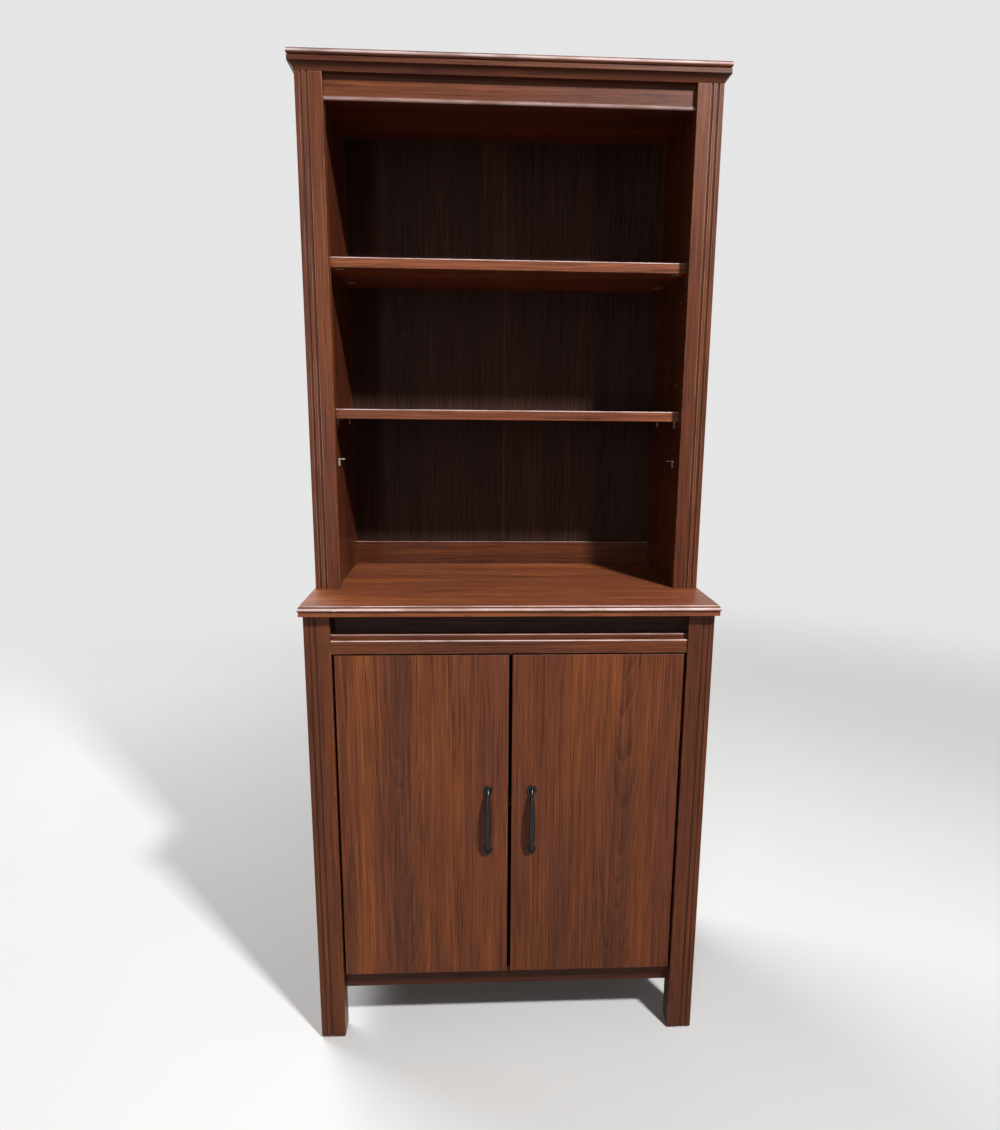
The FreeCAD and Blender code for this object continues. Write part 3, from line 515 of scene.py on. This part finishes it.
def write_speckle(sheet, given, out):
    """Fine moulded or plated grain: two sizes of noise give a small tone change, a roughness change and relief."""
    scaled = sheet.vector("MULTIPLY", given["Position"], given["Stretch"])
    fine = sheet.noise(scaled, [FINE_SCALE] * 3)["Fac"]
    cloud = sheet.noise(scaled, [CLOUD_SCALE] * 3, 3.0)["Fac"]
    spotted = sheet.step(sheet.calc("MULTIPLY_ADD", fine, FINE_SHARE, cloud), *SPOT_STEP)
    spots = sheet.times(spotted, given["Amount"])
    sheet.feed(out["Color"], sheet.mix(spots, given["Color"], given["Spot"]))
    rough = given["Roughness"]
    for noise, weight in ((cloud, CLOUD_ROUGHNESS), (fine, FINE_ROUGHNESS)):
        rough = sheet.calc("MULTIPLY_ADD", sheet.calc("SUBTRACT", noise, MIDDLE), weight, rough)
    sheet.feed(out["Roughness"], rough)
    sheet.feed(out["Relief"], fine)


# Shader group: the function that writes it, and its inputs and outputs by their kind.
GROUPS = {
    "Wood grain": (
        write_grain,
        {"Vector": "Position Seed Heart", "Float": "Tilt Spacing Roughness Tone", "Color": "Dark Middle Light"},
        {"Color": "Color", "Float": "Roughness Relief"},
    ),
    "Arris wear": (write_arris, {"Vector": "Position Low High", "Float": "Width Amount"}, {"Float": "Wear Inside"}),
    "Worn line": (write_painted_light_line, {"Vector": "Position Line Across", "Float": "Width Amount"}, {"Float": "Wear"}),
    "Fluting": (write_fluting, {"Vector": "Position", "Float": "First Second Half Front"}, {"Float": "Dusk Rim"}),
    "Fine speckle": (
        write_speckle,
        {"Vector": "Position Stretch", "Color": "Color Spot", "Float": "Amount Roughness"},
        {"Color": "Color", "Float": "Roughness Relief"},
    ),
}


def shared_group(name):
    """The shader group of that name, written at its first use."""
    if name not in bpy.data.node_groups:
        write, inputs, outputs = GROUPS[name]
        tree = bpy.data.node_groups.new(name, "ShaderNodeTree")
        for way, ends in (("INPUT", inputs), ("OUTPUT", outputs)):
            for kind, labels in ends.items():
                for label in labels.split():
                    tree.interface.new_socket(name=label, in_out=way, socket_type="NodeSocket" + kind)
        sheet = NodeSheet(tree)
        write(sheet, sheet.node("NodeGroupInput").outputs, sheet.node("NodeGroupOutput").inputs)
    return bpy.data.node_groups[name]


def new_material(name):
    """A material with one surface shader; returns it, its sheet and the shader's sockets."""
    material = bpy.data.materials.new(name)
    material.use_nodes = True
    return material, NodeSheet(material.node_tree), material.node_tree.nodes["Principled BSDF"].inputs


def finish_shader(sheet, shader, colour, roughness, gloss, relief, depth):
    """Feeds a shader; relief, zero to one, becomes a normal with the given depth in metres."""
    bump = sheet.node("ShaderNodeBump")
    for name, value in (("Strength", 1.0), ("Distance", depth), ("Height", relief)):
        sheet.feed(bump.inputs[name], value)
    values = (colour, roughness, gloss, bump.outputs["Normal"])
    for name, value in zip(("Base Color", "Roughness", "Specular IOR Level", "Normal"), values):
        sheet.feed(shader[name], value)


def board_grain(sheet, place, node, grain, seed, finish, roughness):
    """The wood grain of one board, turned to its own axes."""
    axes, share, depth, tilt = grain
    low, high = (np.array(corner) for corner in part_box(node))
    order = ["xyz".index(axis) for axis in axes]
    heart = ((low + high) / 2)[order]
    heart[0] = low[order[0]] + share * (high - low)[order[0]]
    heart[1] += depth
    parts = sheet.split(place)
    # Board tone from the table: partly its own tone, mostly painted light and shade.
    tone = next((tone for ending, tone in BOARD_TONES_AND_PAINTED_LIGHT.items() if node.endswith(ending)), 1.0)
    return sheet.group(
        "Wood grain", Position=sheet.join(*(parts[i] for i in order)), Seed=tuple(step * seed for step in SEED_STEP),
        Heart=tuple(heart), Tilt=tilt, Spacing=bpy.context.scene.bookcase_wood.ring, Roughness=roughness, Tone=tone,
        Dark=linear(finish.dark), Middle=linear(finish.middle), Light=linear(finish.light),
    )


def wood_material(node, grain, seed, wear, lines=(), drilled=False, flutes=None, chip=None, finish=None):
    """Satin wood print with rubbed edges.

    Lines are painted highlights and painted groove shade as (point, axes across, width, strength, colour), flutes
    the places, half width, strength of the painted shade inside and of the rim's wear and painted highlight for two
    upright grooves, chip the middle of a chip, finish the owner of the grain's colours.
    """
    wood = bpy.context.scene.bookcase_wood
    material, sheet, shader = new_material("wood_" + node)
    place = sheet.place()
    figure = board_grain(sheet, place, node, grain, seed, finish or wood, wood.roughness)
    low, high = (tuple(corner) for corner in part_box(node))
    arris = sheet.group("Arris wear", Position=place, Low=low, High=high, Width=wood.wear, Amount=wear)
    colour = sheet.mix(arris["Wear"], figure["Color"], linear(wood.worn))
    # Painted highlights and painted groove shade along lines; rubbed holds the mask of each painted line.
    for line, across, width, strength, tint in lines:
        rubbed = sheet.group("Worn line", Position=place, Line=line, Across=across, Width=width, Amount=strength)
        colour = sheet.mix(rubbed["Wear"], colour, linear(getattr(wood, tint)))
    if flutes:
        first, second, half, dusk, rim = flutes
        fluting = sheet.group("Fluting", Position=place, First=first, Second=second, Half=half, Front=low[1])
        # Painted shade inside the flutes, and wear with a painted highlight on their rims.
        colour = sheet.mix(sheet.times(fluting["Dusk"], dusk), colour, linear(wood.dark, FLUTE_PAINTED_SHADE))
        colour = sheet.mix(sheet.times(fluting["Rim"], rim), colour, linear(wood.worn))
    if chip:
        away = sheet.measure(sheet.vector("DIVIDE", sheet.vector("SUBTRACT", place, chip), CHIP_REACH))
        frayed = sheet.calc("MULTIPLY_ADD", sheet.noise(place, [CHIP_SCALE] * 3)["Fac"], CHIP_FRAY, away)
        colour = sheet.mix(sheet.step(frayed, *CHIP_STEP), colour, CHIP_COLOUR)
    if drilled:
        colour = sheet.mix(arris["Inside"], colour, linear(wood.core))
    gloss = BACK_GLOSS if finish else WOOD_GLOSS
    finish_shader(sheet, shader, colour, figure["Roughness"], gloss, figure["Relief"], RELIEF_DEPTH)
    return material


def back_material(node, grain, seed):
    """Hardboard: a printed front face and a bare brown rear face, told apart by the depth in the board."""
    back = bpy.context.scene.bookcase_back
    material, sheet, shader = new_material("back_" + node)
    place = sheet.place()
    figure = board_grain(sheet, place, node, grain, seed, back, BACK_ROUGHNESS)
    low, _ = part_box(node)
    fibre, weave = sheet.patches(place, "fibre"), sheet.patches(place, "weave")
    bare = sheet.mix(sheet.times(fibre, weave), linear(back.bare), linear(back.fibre))
    rear = sheet.step(sheet.split(place)["Y"], *(low.y + depth for depth in PRINT_DEPTH))
    colour = sheet.mix(rear, figure["Color"], bare)
    roughness = sheet.calc("MULTIPLY_ADD", rear, BARE_ROUGHNESS, figure["Roughness"])
    relief = sheet.calc("MULTIPLY_ADD", fibre, rear, figure["Relief"])
    finish_shader(sheet, shader, colour, roughness, BACK_GLOSS, relief, RELIEF_DEPTH)
    return material


def speckled_material(name, colour, spot=None, stretch=(1.0, 1.0, 1.0)):
    """Metal or plastic with a fine grain; stretch draws the grain out along an axis, as brushing does."""
    amount, roughness, metallic, gloss, depth, own_spot = SPECKLES[name]
    material, sheet, shader = new_material(name)
    grain = sheet.group(
        "Fine speckle", Position=sheet.place(), Stretch=stretch, Color=linear(colour), Spot=linear(own_spot or spot),
        Amount=amount, Roughness=roughness,
    )
    sheet.feed(shader["Metallic"], metallic)
    finish_shader(sheet, shader, grain["Color"], grain["Roughness"], gloss, grain["Relief"], depth)
    return material


def dress(node, material):
    """Puts a material on a CAD node through its object's slots."""
    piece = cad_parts[node]
    if not piece.material_slots:
        piece.data.materials.append(material)
    for slot in piece.material_slots:
        slot.link = "OBJECT"
        slot.material = material


def ring_points(radius, around):
    """X and Y of points on rings with the given radii, one row for each ring."""
    angle = np.linspace(0.0, 2.0 * np.pi, around, endpoint=False)
    return np.outer(radius, np.cos(angle)), np.outer(radius, np.sin(angle))


def ring_faces(rings, around):
    """Quads from ring to ring, and triangles from point 0 to the first ring; the rings count on from point 1."""
    index = 1 + np.arange(rings * around).reshape(rings, around)
    after = np.roll(index, -1, axis=1)
    quads = np.stack([index[:-1], index[1:], after[1:], after[:-1]], -1).reshape(-1, 4)
    return quads, np.stack([np.zeros(around, int), index[0], after[0]], -1)


def turned_head(radius, height, around, recess=0.0, reach=0.0, arm=0.0):
    """A closed head turned about Z: ring i lies at radius[i], height[i], between a pole on top and one below.

    A cross recess lowers the points whose smaller coordinate is under arm and whose radius is under reach.
    """
    x, y = ring_points(radius, around)
    z = np.repeat(np.asarray(height)[:, None], around, axis=1)
    inside = (np.minimum(abs(x), abs(y)) < arm) & (np.hypot(x, y) < reach)
    z = z - recess * inside * (z > 0.0)
    rings = np.stack([x, y, z], -1).reshape(-1, 3)
    points = np.vstack([[[0.0, 0.0, height[0] - recess]], rings, [[0.0, 0.0, 0.0]]])
    quads, top = ring_faces(len(radius), around)
    last = len(points) - 1
    lowest = last - around + np.arange(around)
    below = np.stack([np.full(around, last), np.roll(lowest, -1), lowest], -1)
    return points, quads, np.vstack([top, below])


def put_heads(name, head, centres, normal, body, material):
    """Copies of one head at the centres, all facing normal: point = centre + x u + y v + z normal."""
    points, quads, triangles = head
    turn = np.array(Vector(normal).to_track_quat("Z", "Y").to_matrix())
    placed = (np.asarray(centres)[:, None, :] + (points @ turn.T)[None]).reshape(-1, 3)
    shift = len(points) * np.arange(len(centres))[:, None, None]
    faces = (quads[None] + shift).reshape(-1, 4).tolist() + (triangles[None] + shift).reshape(-1, 3).tolist()
    return put_surface(name, placed, faces, body, material)


def put_surface(name, points, faces, body, material):
    """A mesh piece in its place; with a body, it rides on it."""
    mesh = bpy.data.meshes.new(name)
    mesh.from_pydata(points.tolist(), [], faces)
    mesh.materials.append(material)
    mesh.shade_smooth()
    mesh.validate()
    piece = bpy.data.objects.new(name, mesh)
    bpy.context.scene.collection.objects.link(piece)
    if body:
        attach(piece, body)
    return piece


class BOOKCASE_OT_uprights(bpy.types.Operator):
    """Wood print with upright grain on posts, legs, stiles and side panels."""

    bl_idname = "bookcase.uprights"
    bl_label = "Uprights"

    def execute(self, context):
        wood = context.scene.bookcase_wood
        for seed, (node, grain) in enumerate(UPRIGHT_BOARDS.items(), start=UPRIGHT_SEED):
            low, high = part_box(node)
            outer, inner = (low.x, high.x) if node.startswith("left") else (high.x, low.x)
            grooves = [outer + share * (inner - outer) for share in (wood.first_flute, wood.second_flute)]
            look = FLUTE_PAINTED_SHADE_AND_RIM.get(node.split("_")[-1])
            flutes = (*grooves, wood.flute_half, *look) if look and "rear" not in node else None
            drilled = node.endswith("side_panel")
            dress(node, wood_material(node, grain, seed, UPRIGHT_WEAR, drilled=drilled, flutes=flutes))
        return {"FINISHED"}


def board_lines(node):
    """Painted highlight and painted groove shade lines of a board, as wood_material takes them."""
    low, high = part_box(node)
    edges = {"foot": low.z, "top": high.z}
    lines = []
    for inset, drop, *look in PAINTED_LIGHT_EDGE_LINES.get(node, ()):
        z = high.z - drop
        lines.append(((0.0, low.y + inset, z), ACROSS_FRONT, *look))
        lines += [((x, 0.0, z), ACROSS_END, *look) for x in (low.x + inset, high.x - inset)]
    for inset, edge, rise, *look in PAINTED_HIGHLIGHT_LINES.get(node, ()):
        lines.append(((0.0, low.y + inset, edges[edge] + rise), ACROSS_FRONT, *look, "painted_highlight"))
    return lines


class BOOKCASE_OT_cross_boards(bpy.types.Operator):
    """Wood print with grain along the width on counter, crown, shelves and rails."""

    bl_idname = "bookcase.cross_boards"
    bl_label = "Cross boards"

    def execute(self, context):
        for seed, (node, grain) in enumerate(CROSS_BOARDS.items(), start=CROSS_SEED):
            lines, chip = board_lines(node), None
            if node == "counter_top":
                low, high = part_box(node)
                rail_low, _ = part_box("hutch_counter_rail")
                lines.append(((0.0, rail_low.y, high.z), ACROSS_FRONT, *PAINTED_FOOT_HIGHLIGHT))
                chip = (CHIP_PLACE[0], low.y + CHIP_PLACE[1], high.z + CHIP_PLACE[2])
            # The frieze takes the back's darker print colours: painted shade for the shade under the counter's
            # overhang.
            finish = context.scene.bookcase_back if node == "frieze_board" else None
            dress(node, wood_material(node, grain, seed, CROSS_WEAR, lines, chip=chip, finish=finish))
        return {"FINISHED"}


class BOOKCASE_OT_doors(bpy.types.Operator):
    """Wood print of the two doors, with a dark heart band and nested arches."""

    bl_idname = "bookcase.doors"
    bl_label = "Doors"

    def execute(self, context):
        for seed, (node, grain) in enumerate(DOOR_BOARDS.items(), start=DOOR_SEED):
            dress(node, wood_material(node, grain, seed, DOOR_WEAR, drilled=True))
        return {"FINISHED"}


def nail_line(start, end, gap):
    """Evenly spaced points from start to end, no further apart than gap."""
    start, end = np.asarray(start), np.asarray(end)
    count = int(np.ceil(np.linalg.norm(end - start) / gap)) + 1
    return start + np.linspace(0.0, 1.0, count)[:, None] * (end - start)


class BOOKCASE_OT_back(bpy.types.Operator):
    """Printed hardboard back, its joint strips and the nails that hold it."""

    bl_idname = "bookcase.back"
    bl_label = "Back"

    def execute(self, context):
        back = context.scene.bookcase_back
        for seed, (node, grain) in enumerate(BACK_BOARDS.items(), start=BACK_SEED):
            dress(node, back_material(node, grain, seed))
        strip = speckled_material("joint_strip", back.seam, spot=back.middle)
        nail = speckled_material("nail_steel", context.scene.bookcase_fittings.screw)
        shares, heights = np.array(NAIL_PROFILE).T
        head = turned_head(back.nail_radius * shares, heights, NAIL_AROUND)
        for stage, board in (("hutch", "upper_hutch_shelf"), ("base", "base_floor_panel")):
            dress(stage + "_back_seam_strip", strip)
            low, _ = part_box(stage + "_back_left_half")
            _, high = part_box(stage + "_back_right_half")
            x0, x1 = low.x + back.nail_margin, high.x - back.nail_margin
            z0, z1 = low.z + back.nail_margin, high.z - back.nail_margin
            rows = [nail_line((x, z0), (x, z1), back.nail_gap) for x in (x0, x1)]
            inner = (x0 + back.nail_gap, x1 - back.nail_gap)
            board_low, board_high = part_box(board)
            levels = [z1, z0] if stage == "hutch" else [z1]
            levels.append((board_low.z + board_high.z) / 2)
            rows += [nail_line((inner[0], z), (inner[1], z), back.nail_gap) for z in levels]
            centres = np.insert(np.vstack(rows), 1, high.y, axis=1)
            put_heads(stage + "_back_nails", head, centres, (0.0, 1.0, 0.0), "carcass", nail)
        return {"FINISHED"}


class BOOKCASE_OT_handles(bpy.types.Operator):
    """Satin black bow handles, a little rubbed, and their screws from behind."""

    bl_idname = "bookcase.handles"
    bl_label = "Handles"

    def execute(self, context):
        fittings = context.scene.bookcase_fittings
        black = speckled_material("handle_black", fittings.black, spot=fittings.rubbed)
        screw = speckled_material("handle_screw", fittings.screw)
        for side in SIDES:
            dress(side + "_handle", black)
            dress(side + "_handle_screws", screw)
        return {"FINISHED"}


class BOOKCASE_OT_hinges(bpy.types.Operator):
    """Plated hinges and screws; each screw head gets a cap with a cross recess."""

    bl_idname = "bookcase.hinges"
    bl_label = "Hinges and screws"

    def execute(self, context):
        fittings = context.scene.bookcase_fittings
        steel = speckled_material("hinge_steel", fittings.steel)
        screw = speckled_material("screw_zinc", fittings.screw)
        for side, sign in SIDES.items():
            for kind in ("cups", "arms", "plates", "pins"):
                dress(side + "_hinge_" + kind, steel)
            for kind in ("cup_screws", "plate_screws"):
                dress(side + "_hinge_" + kind, screw)
            door = side + "_door"
            self.cap(side + "_hinge_cup_screws", fittings.cup_screw_gap, (0.0, 1.0, 0.0), door, screw)
            self.cap(side + "_hinge_plate_screws", fittings.plate_screw_gap, (-sign, 0.0, 0.0), "carcass", screw)
            self.cap(side + "_handle_screws", 0.0, (0.0, 1.0, 0.0), door, screw)
        return {"FINISHED"}

    def cap(self, node, gap, normal, body, material):
        """Caps on a column of screws: the lowest and highest head fix the column, gap sets the inner heads."""
        low, high = (np.array(corner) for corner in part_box(node))
        facing = np.array(normal)
        across = np.flatnonzero(facing == 0.0)[0]
        radius = (high - low)[across] / 2
        heights = np.unique([low[2] + radius, low[2] + radius + gap, high[2] - radius - gap, high[2] - radius])
        centre = (low + high) / 2
        face = np.where(facing > 0.0, high, np.where(facing < 0.0, low, centre))
        centres = np.repeat(face[None], len(heights), axis=0)
        centres[:, 2] = heights
        depth = bpy.context.scene.bookcase_fittings.recess_depth
        shares = np.array(CAP_SHARES)
        rise = depth + CAP_DOME * (1.0 - shares ** 2)
        rise[-2:] = (CAP_RIM * depth, 0.0)
        recess = (RECESS_SHARE * depth, RECESS_REACH * radius, RECESS_ARM * radius)
        head = turned_head(radius * shares, rise, CAP_AROUND, *recess)
        put_heads(node + "_caps", head, centres, normal, body, material)


class BOOKCASE_OT_supports(bpy.types.Operator):
    """Shelf supports and the cams under the fixed shelf."""

    bl_idname = "bookcase.supports"
    bl_label = "Shelf supports"

    def execute(self, context):
        zinc = speckled_material("support_zinc", context.scene.bookcase_fittings.zinc)
        for node in ("hutch_shelf_pins", "base_shelf_pins", "shelf_cam_fittings"):
            dress(node, zinc)
        return {"FINISHED"}


class BOOKCASE_OT_small_parts(bpy.types.Operator):
    """Floor glides, door stop and dowels."""

    bl_idname = "bookcase.small_parts"
    bl_label = "Small parts"

    def execute(self, context):
        fittings = context.scene.bookcase_fittings
        dress("floor_glides", speckled_material("glide_plastic", fittings.glide))
        dress("door_stop", speckled_material("stop_plastic", fittings.stop))
        dress("dowels", speckled_material("dowel_beech", fittings.beech, stretch=DOWEL_STRETCH))
        return {"FINISHED"}


class BOOKCASE_OT_stage(bpy.types.Operator):
    """Pale floor, soft lamps, even light and the camera."""

    bl_idname = "bookcase.stage"
    bl_label = "Studio"

    def execute(self, context):
        stage = context.scene.bookcase_stage
        context.scene.view_settings.view_transform = "Standard"
        self.floor(stage)
        self.world(context.scene, stage)
        for name, (place, size) in LAMPS.items():
            self.lamp(name + "_lamp", place, size, getattr(stage, name))
        self.camera(context.scene, stage)
        return {"FINISHED"}

    def floor(self, stage):
        """A disc whose radius grows with the cube of the ring number; far out it fades to the backdrop."""
        share = np.linspace(0.0, 1.0, FLOOR_RINGS + 1)[1:] ** 3
        x, y = ring_points(FLOOR_RADIUS * share, FLOOR_AROUND)
        rings = np.stack([x, y, np.zeros_like(x)], -1).reshape(-1, 3)
        points = np.vstack([[[0.0, 0.0, 0.0]], rings])
        quads, middle = (faces.tolist() for faces in ring_faces(FLOOR_RINGS, FLOOR_AROUND))
        material, sheet, shader = new_material("studio_floor")
        place, looks = sheet.place(), sheet.looks()
        tone = sheet.patches(place, "floor")
        colour = sheet.mix(tone, linear(stage.floor, FLOOR_TONE), linear(stage.floor))
        sheet.feed(shader["Base Color"], sheet.mix(looks, linear(stage.floor, stage.bounce), colour))
        sheet.feed(shader["Roughness"], FLOOR_ROUGHNESS)
        sheet.feed(shader["Specular IOR Level"], FLOOR_GLOSS)
        far = sheet.step(sheet.measure(place), *FLOOR_FADE)
        glow = sheet.node("ShaderNodeEmission", (linear(stage.backdrop), 1.0)).outputs[0]
        surface = material.node_tree.nodes["Principled BSDF"].outputs[0]
        blend = sheet.node("ShaderNodeMixShader", (sheet.times(far, looks), surface, glow))
        sheet.feed(material.node_tree.nodes["Material Output"].inputs["Surface"], blend.outputs[0])
        put_surface("studio_floor", points, quads + middle, None, material)

    def world(self, scene, stage):
        """Even light on the object, and the pale backdrop for the rays that look at the studio."""
        world = bpy.data.worlds.new("studio")
        world.use_nodes = True
        sheet = NodeSheet(world.node_tree)
        even = world.node_tree.nodes["Background"]
        sheet.feed(even.inputs["Color"], (1.0, 1.0, 1.0, 1.0))
        sheet.feed(even.inputs["Strength"], stage.ambient)
        pale = sheet.node("ShaderNodeBackground", (linear(stage.backdrop), 1.0))
        blend = sheet.node("ShaderNodeMixShader", (sheet.looks(), even.outputs[0], pale.outputs[0]))
        sheet.feed(world.node_tree.nodes["World Output"].inputs["Surface"], blend.outputs[0])
        scene.world = world

    def lamp(self, name, place, size, power):
        """A soft lamp of the given width and height, turned to the aim point."""
        light = bpy.data.lights.new(name, "AREA")
        light.shape = "RECTANGLE"
        light.size, light.size_y = size
        light.energy = power
        lamp = bpy.data.objects.new(name, light)
        lamp.location = place
        lamp.rotation_euler = (LAMP_AIM - Vector(place)).to_track_quat("-Z", "Y").to_euler()
        bpy.context.scene.collection.objects.link(lamp)

    def camera(self, scene, stage):
        """The view line is turned by yaw about Z and tilted down by pitch, then the frame rolls about it."""
        yaw = Matrix.Rotation(stage.yaw, 3, "Z")
        ahead = yaw @ Vector((0.0, math.cos(stage.pitch), -math.sin(stage.pitch)))
        level = yaw @ Vector((1.0, 0.0, 0.0))
        above = level.cross(ahead)
        right = math.cos(stage.roll) * level + math.sin(stage.roll) * above
        up = math.cos(stage.roll) * above - math.sin(stage.roll) * level
        camera = bpy.data.objects.new("camera", bpy.data.cameras.new("camera"))
        camera.data.sensor_width = SENSOR_WIDTH
        camera.data.lens = stage.lens
        camera.data.shift_x, camera.data.shift_y = stage.shift
        camera.matrix_world = Matrix.Translation(stage.place) @ Matrix((right, up, -ahead)).transposed().to_4x4()
        scene.collection.objects.link(camera)
        scene.camera = camera


OPERATORS = (
    BOOKCASE_OT_uprights,
    BOOKCASE_OT_cross_boards,
    BOOKCASE_OT_doors,
    BOOKCASE_OT_back,
    BOOKCASE_OT_handles,
    BOOKCASE_OT_hinges,
    BOOKCASE_OT_supports,
    BOOKCASE_OT_small_parts,
    BOOKCASE_OT_stage,
)
SETTINGS = {
    "bookcase_wood": BookcaseWood,
    "bookcase_back": BookcaseBack,
    "bookcase_fittings": BookcaseFittings,
    "bookcase_stage": BookcaseStage,
}


class BOOKCASE_PT_sidebar(bpy.types.Panel):
    """Finishes and steps of the bookcase."""

    bl_label = "Bookcase"
    bl_idname = "BOOKCASE_PT_sidebar"
    bl_space_type = "VIEW_3D"
    bl_region_type = "UI"
    bl_category = "Bookcase"

    def draw(self, context):
        for name, group in SETTINGS.items():
            box = self.layout.box()
            for key in group.__annotations__:
                box.prop(getattr(context.scene, name), key)
        for operator in OPERATORS:
            self.layout.operator(operator.bl_idname)


def register():
    for name, group in SETTINGS.items():
        bpy.utils.register_class(group)
        setattr(bpy.types.Scene, name, PointerProperty(type=group))
    for operator in (*OPERATORS, BOOKCASE_PT_sidebar):
        bpy.utils.register_class(operator)


def unregister():
    for operator in (BOOKCASE_PT_sidebar, *reversed(OPERATORS)):
        bpy.utils.unregister_class(operator)
    for name, group in reversed(SETTINGS.items()):
        delattr(bpy.types.Scene, name)
        bpy.utils.unregister_class(group)


def main():
    register()
    bpy.ops.bookcase.uprights()
    bpy.ops.bookcase.cross_boards()
    bpy.ops.bookcase.doors()
    bpy.ops.bookcase.back()
    bpy.ops.bookcase.handles()
    bpy.ops.bookcase.hinges()
    bpy.ops.bookcase.supports()
    bpy.ops.bookcase.small_parts()
    bpy.ops.bookcase.stage()


if __name__ == "__main__":
    main()
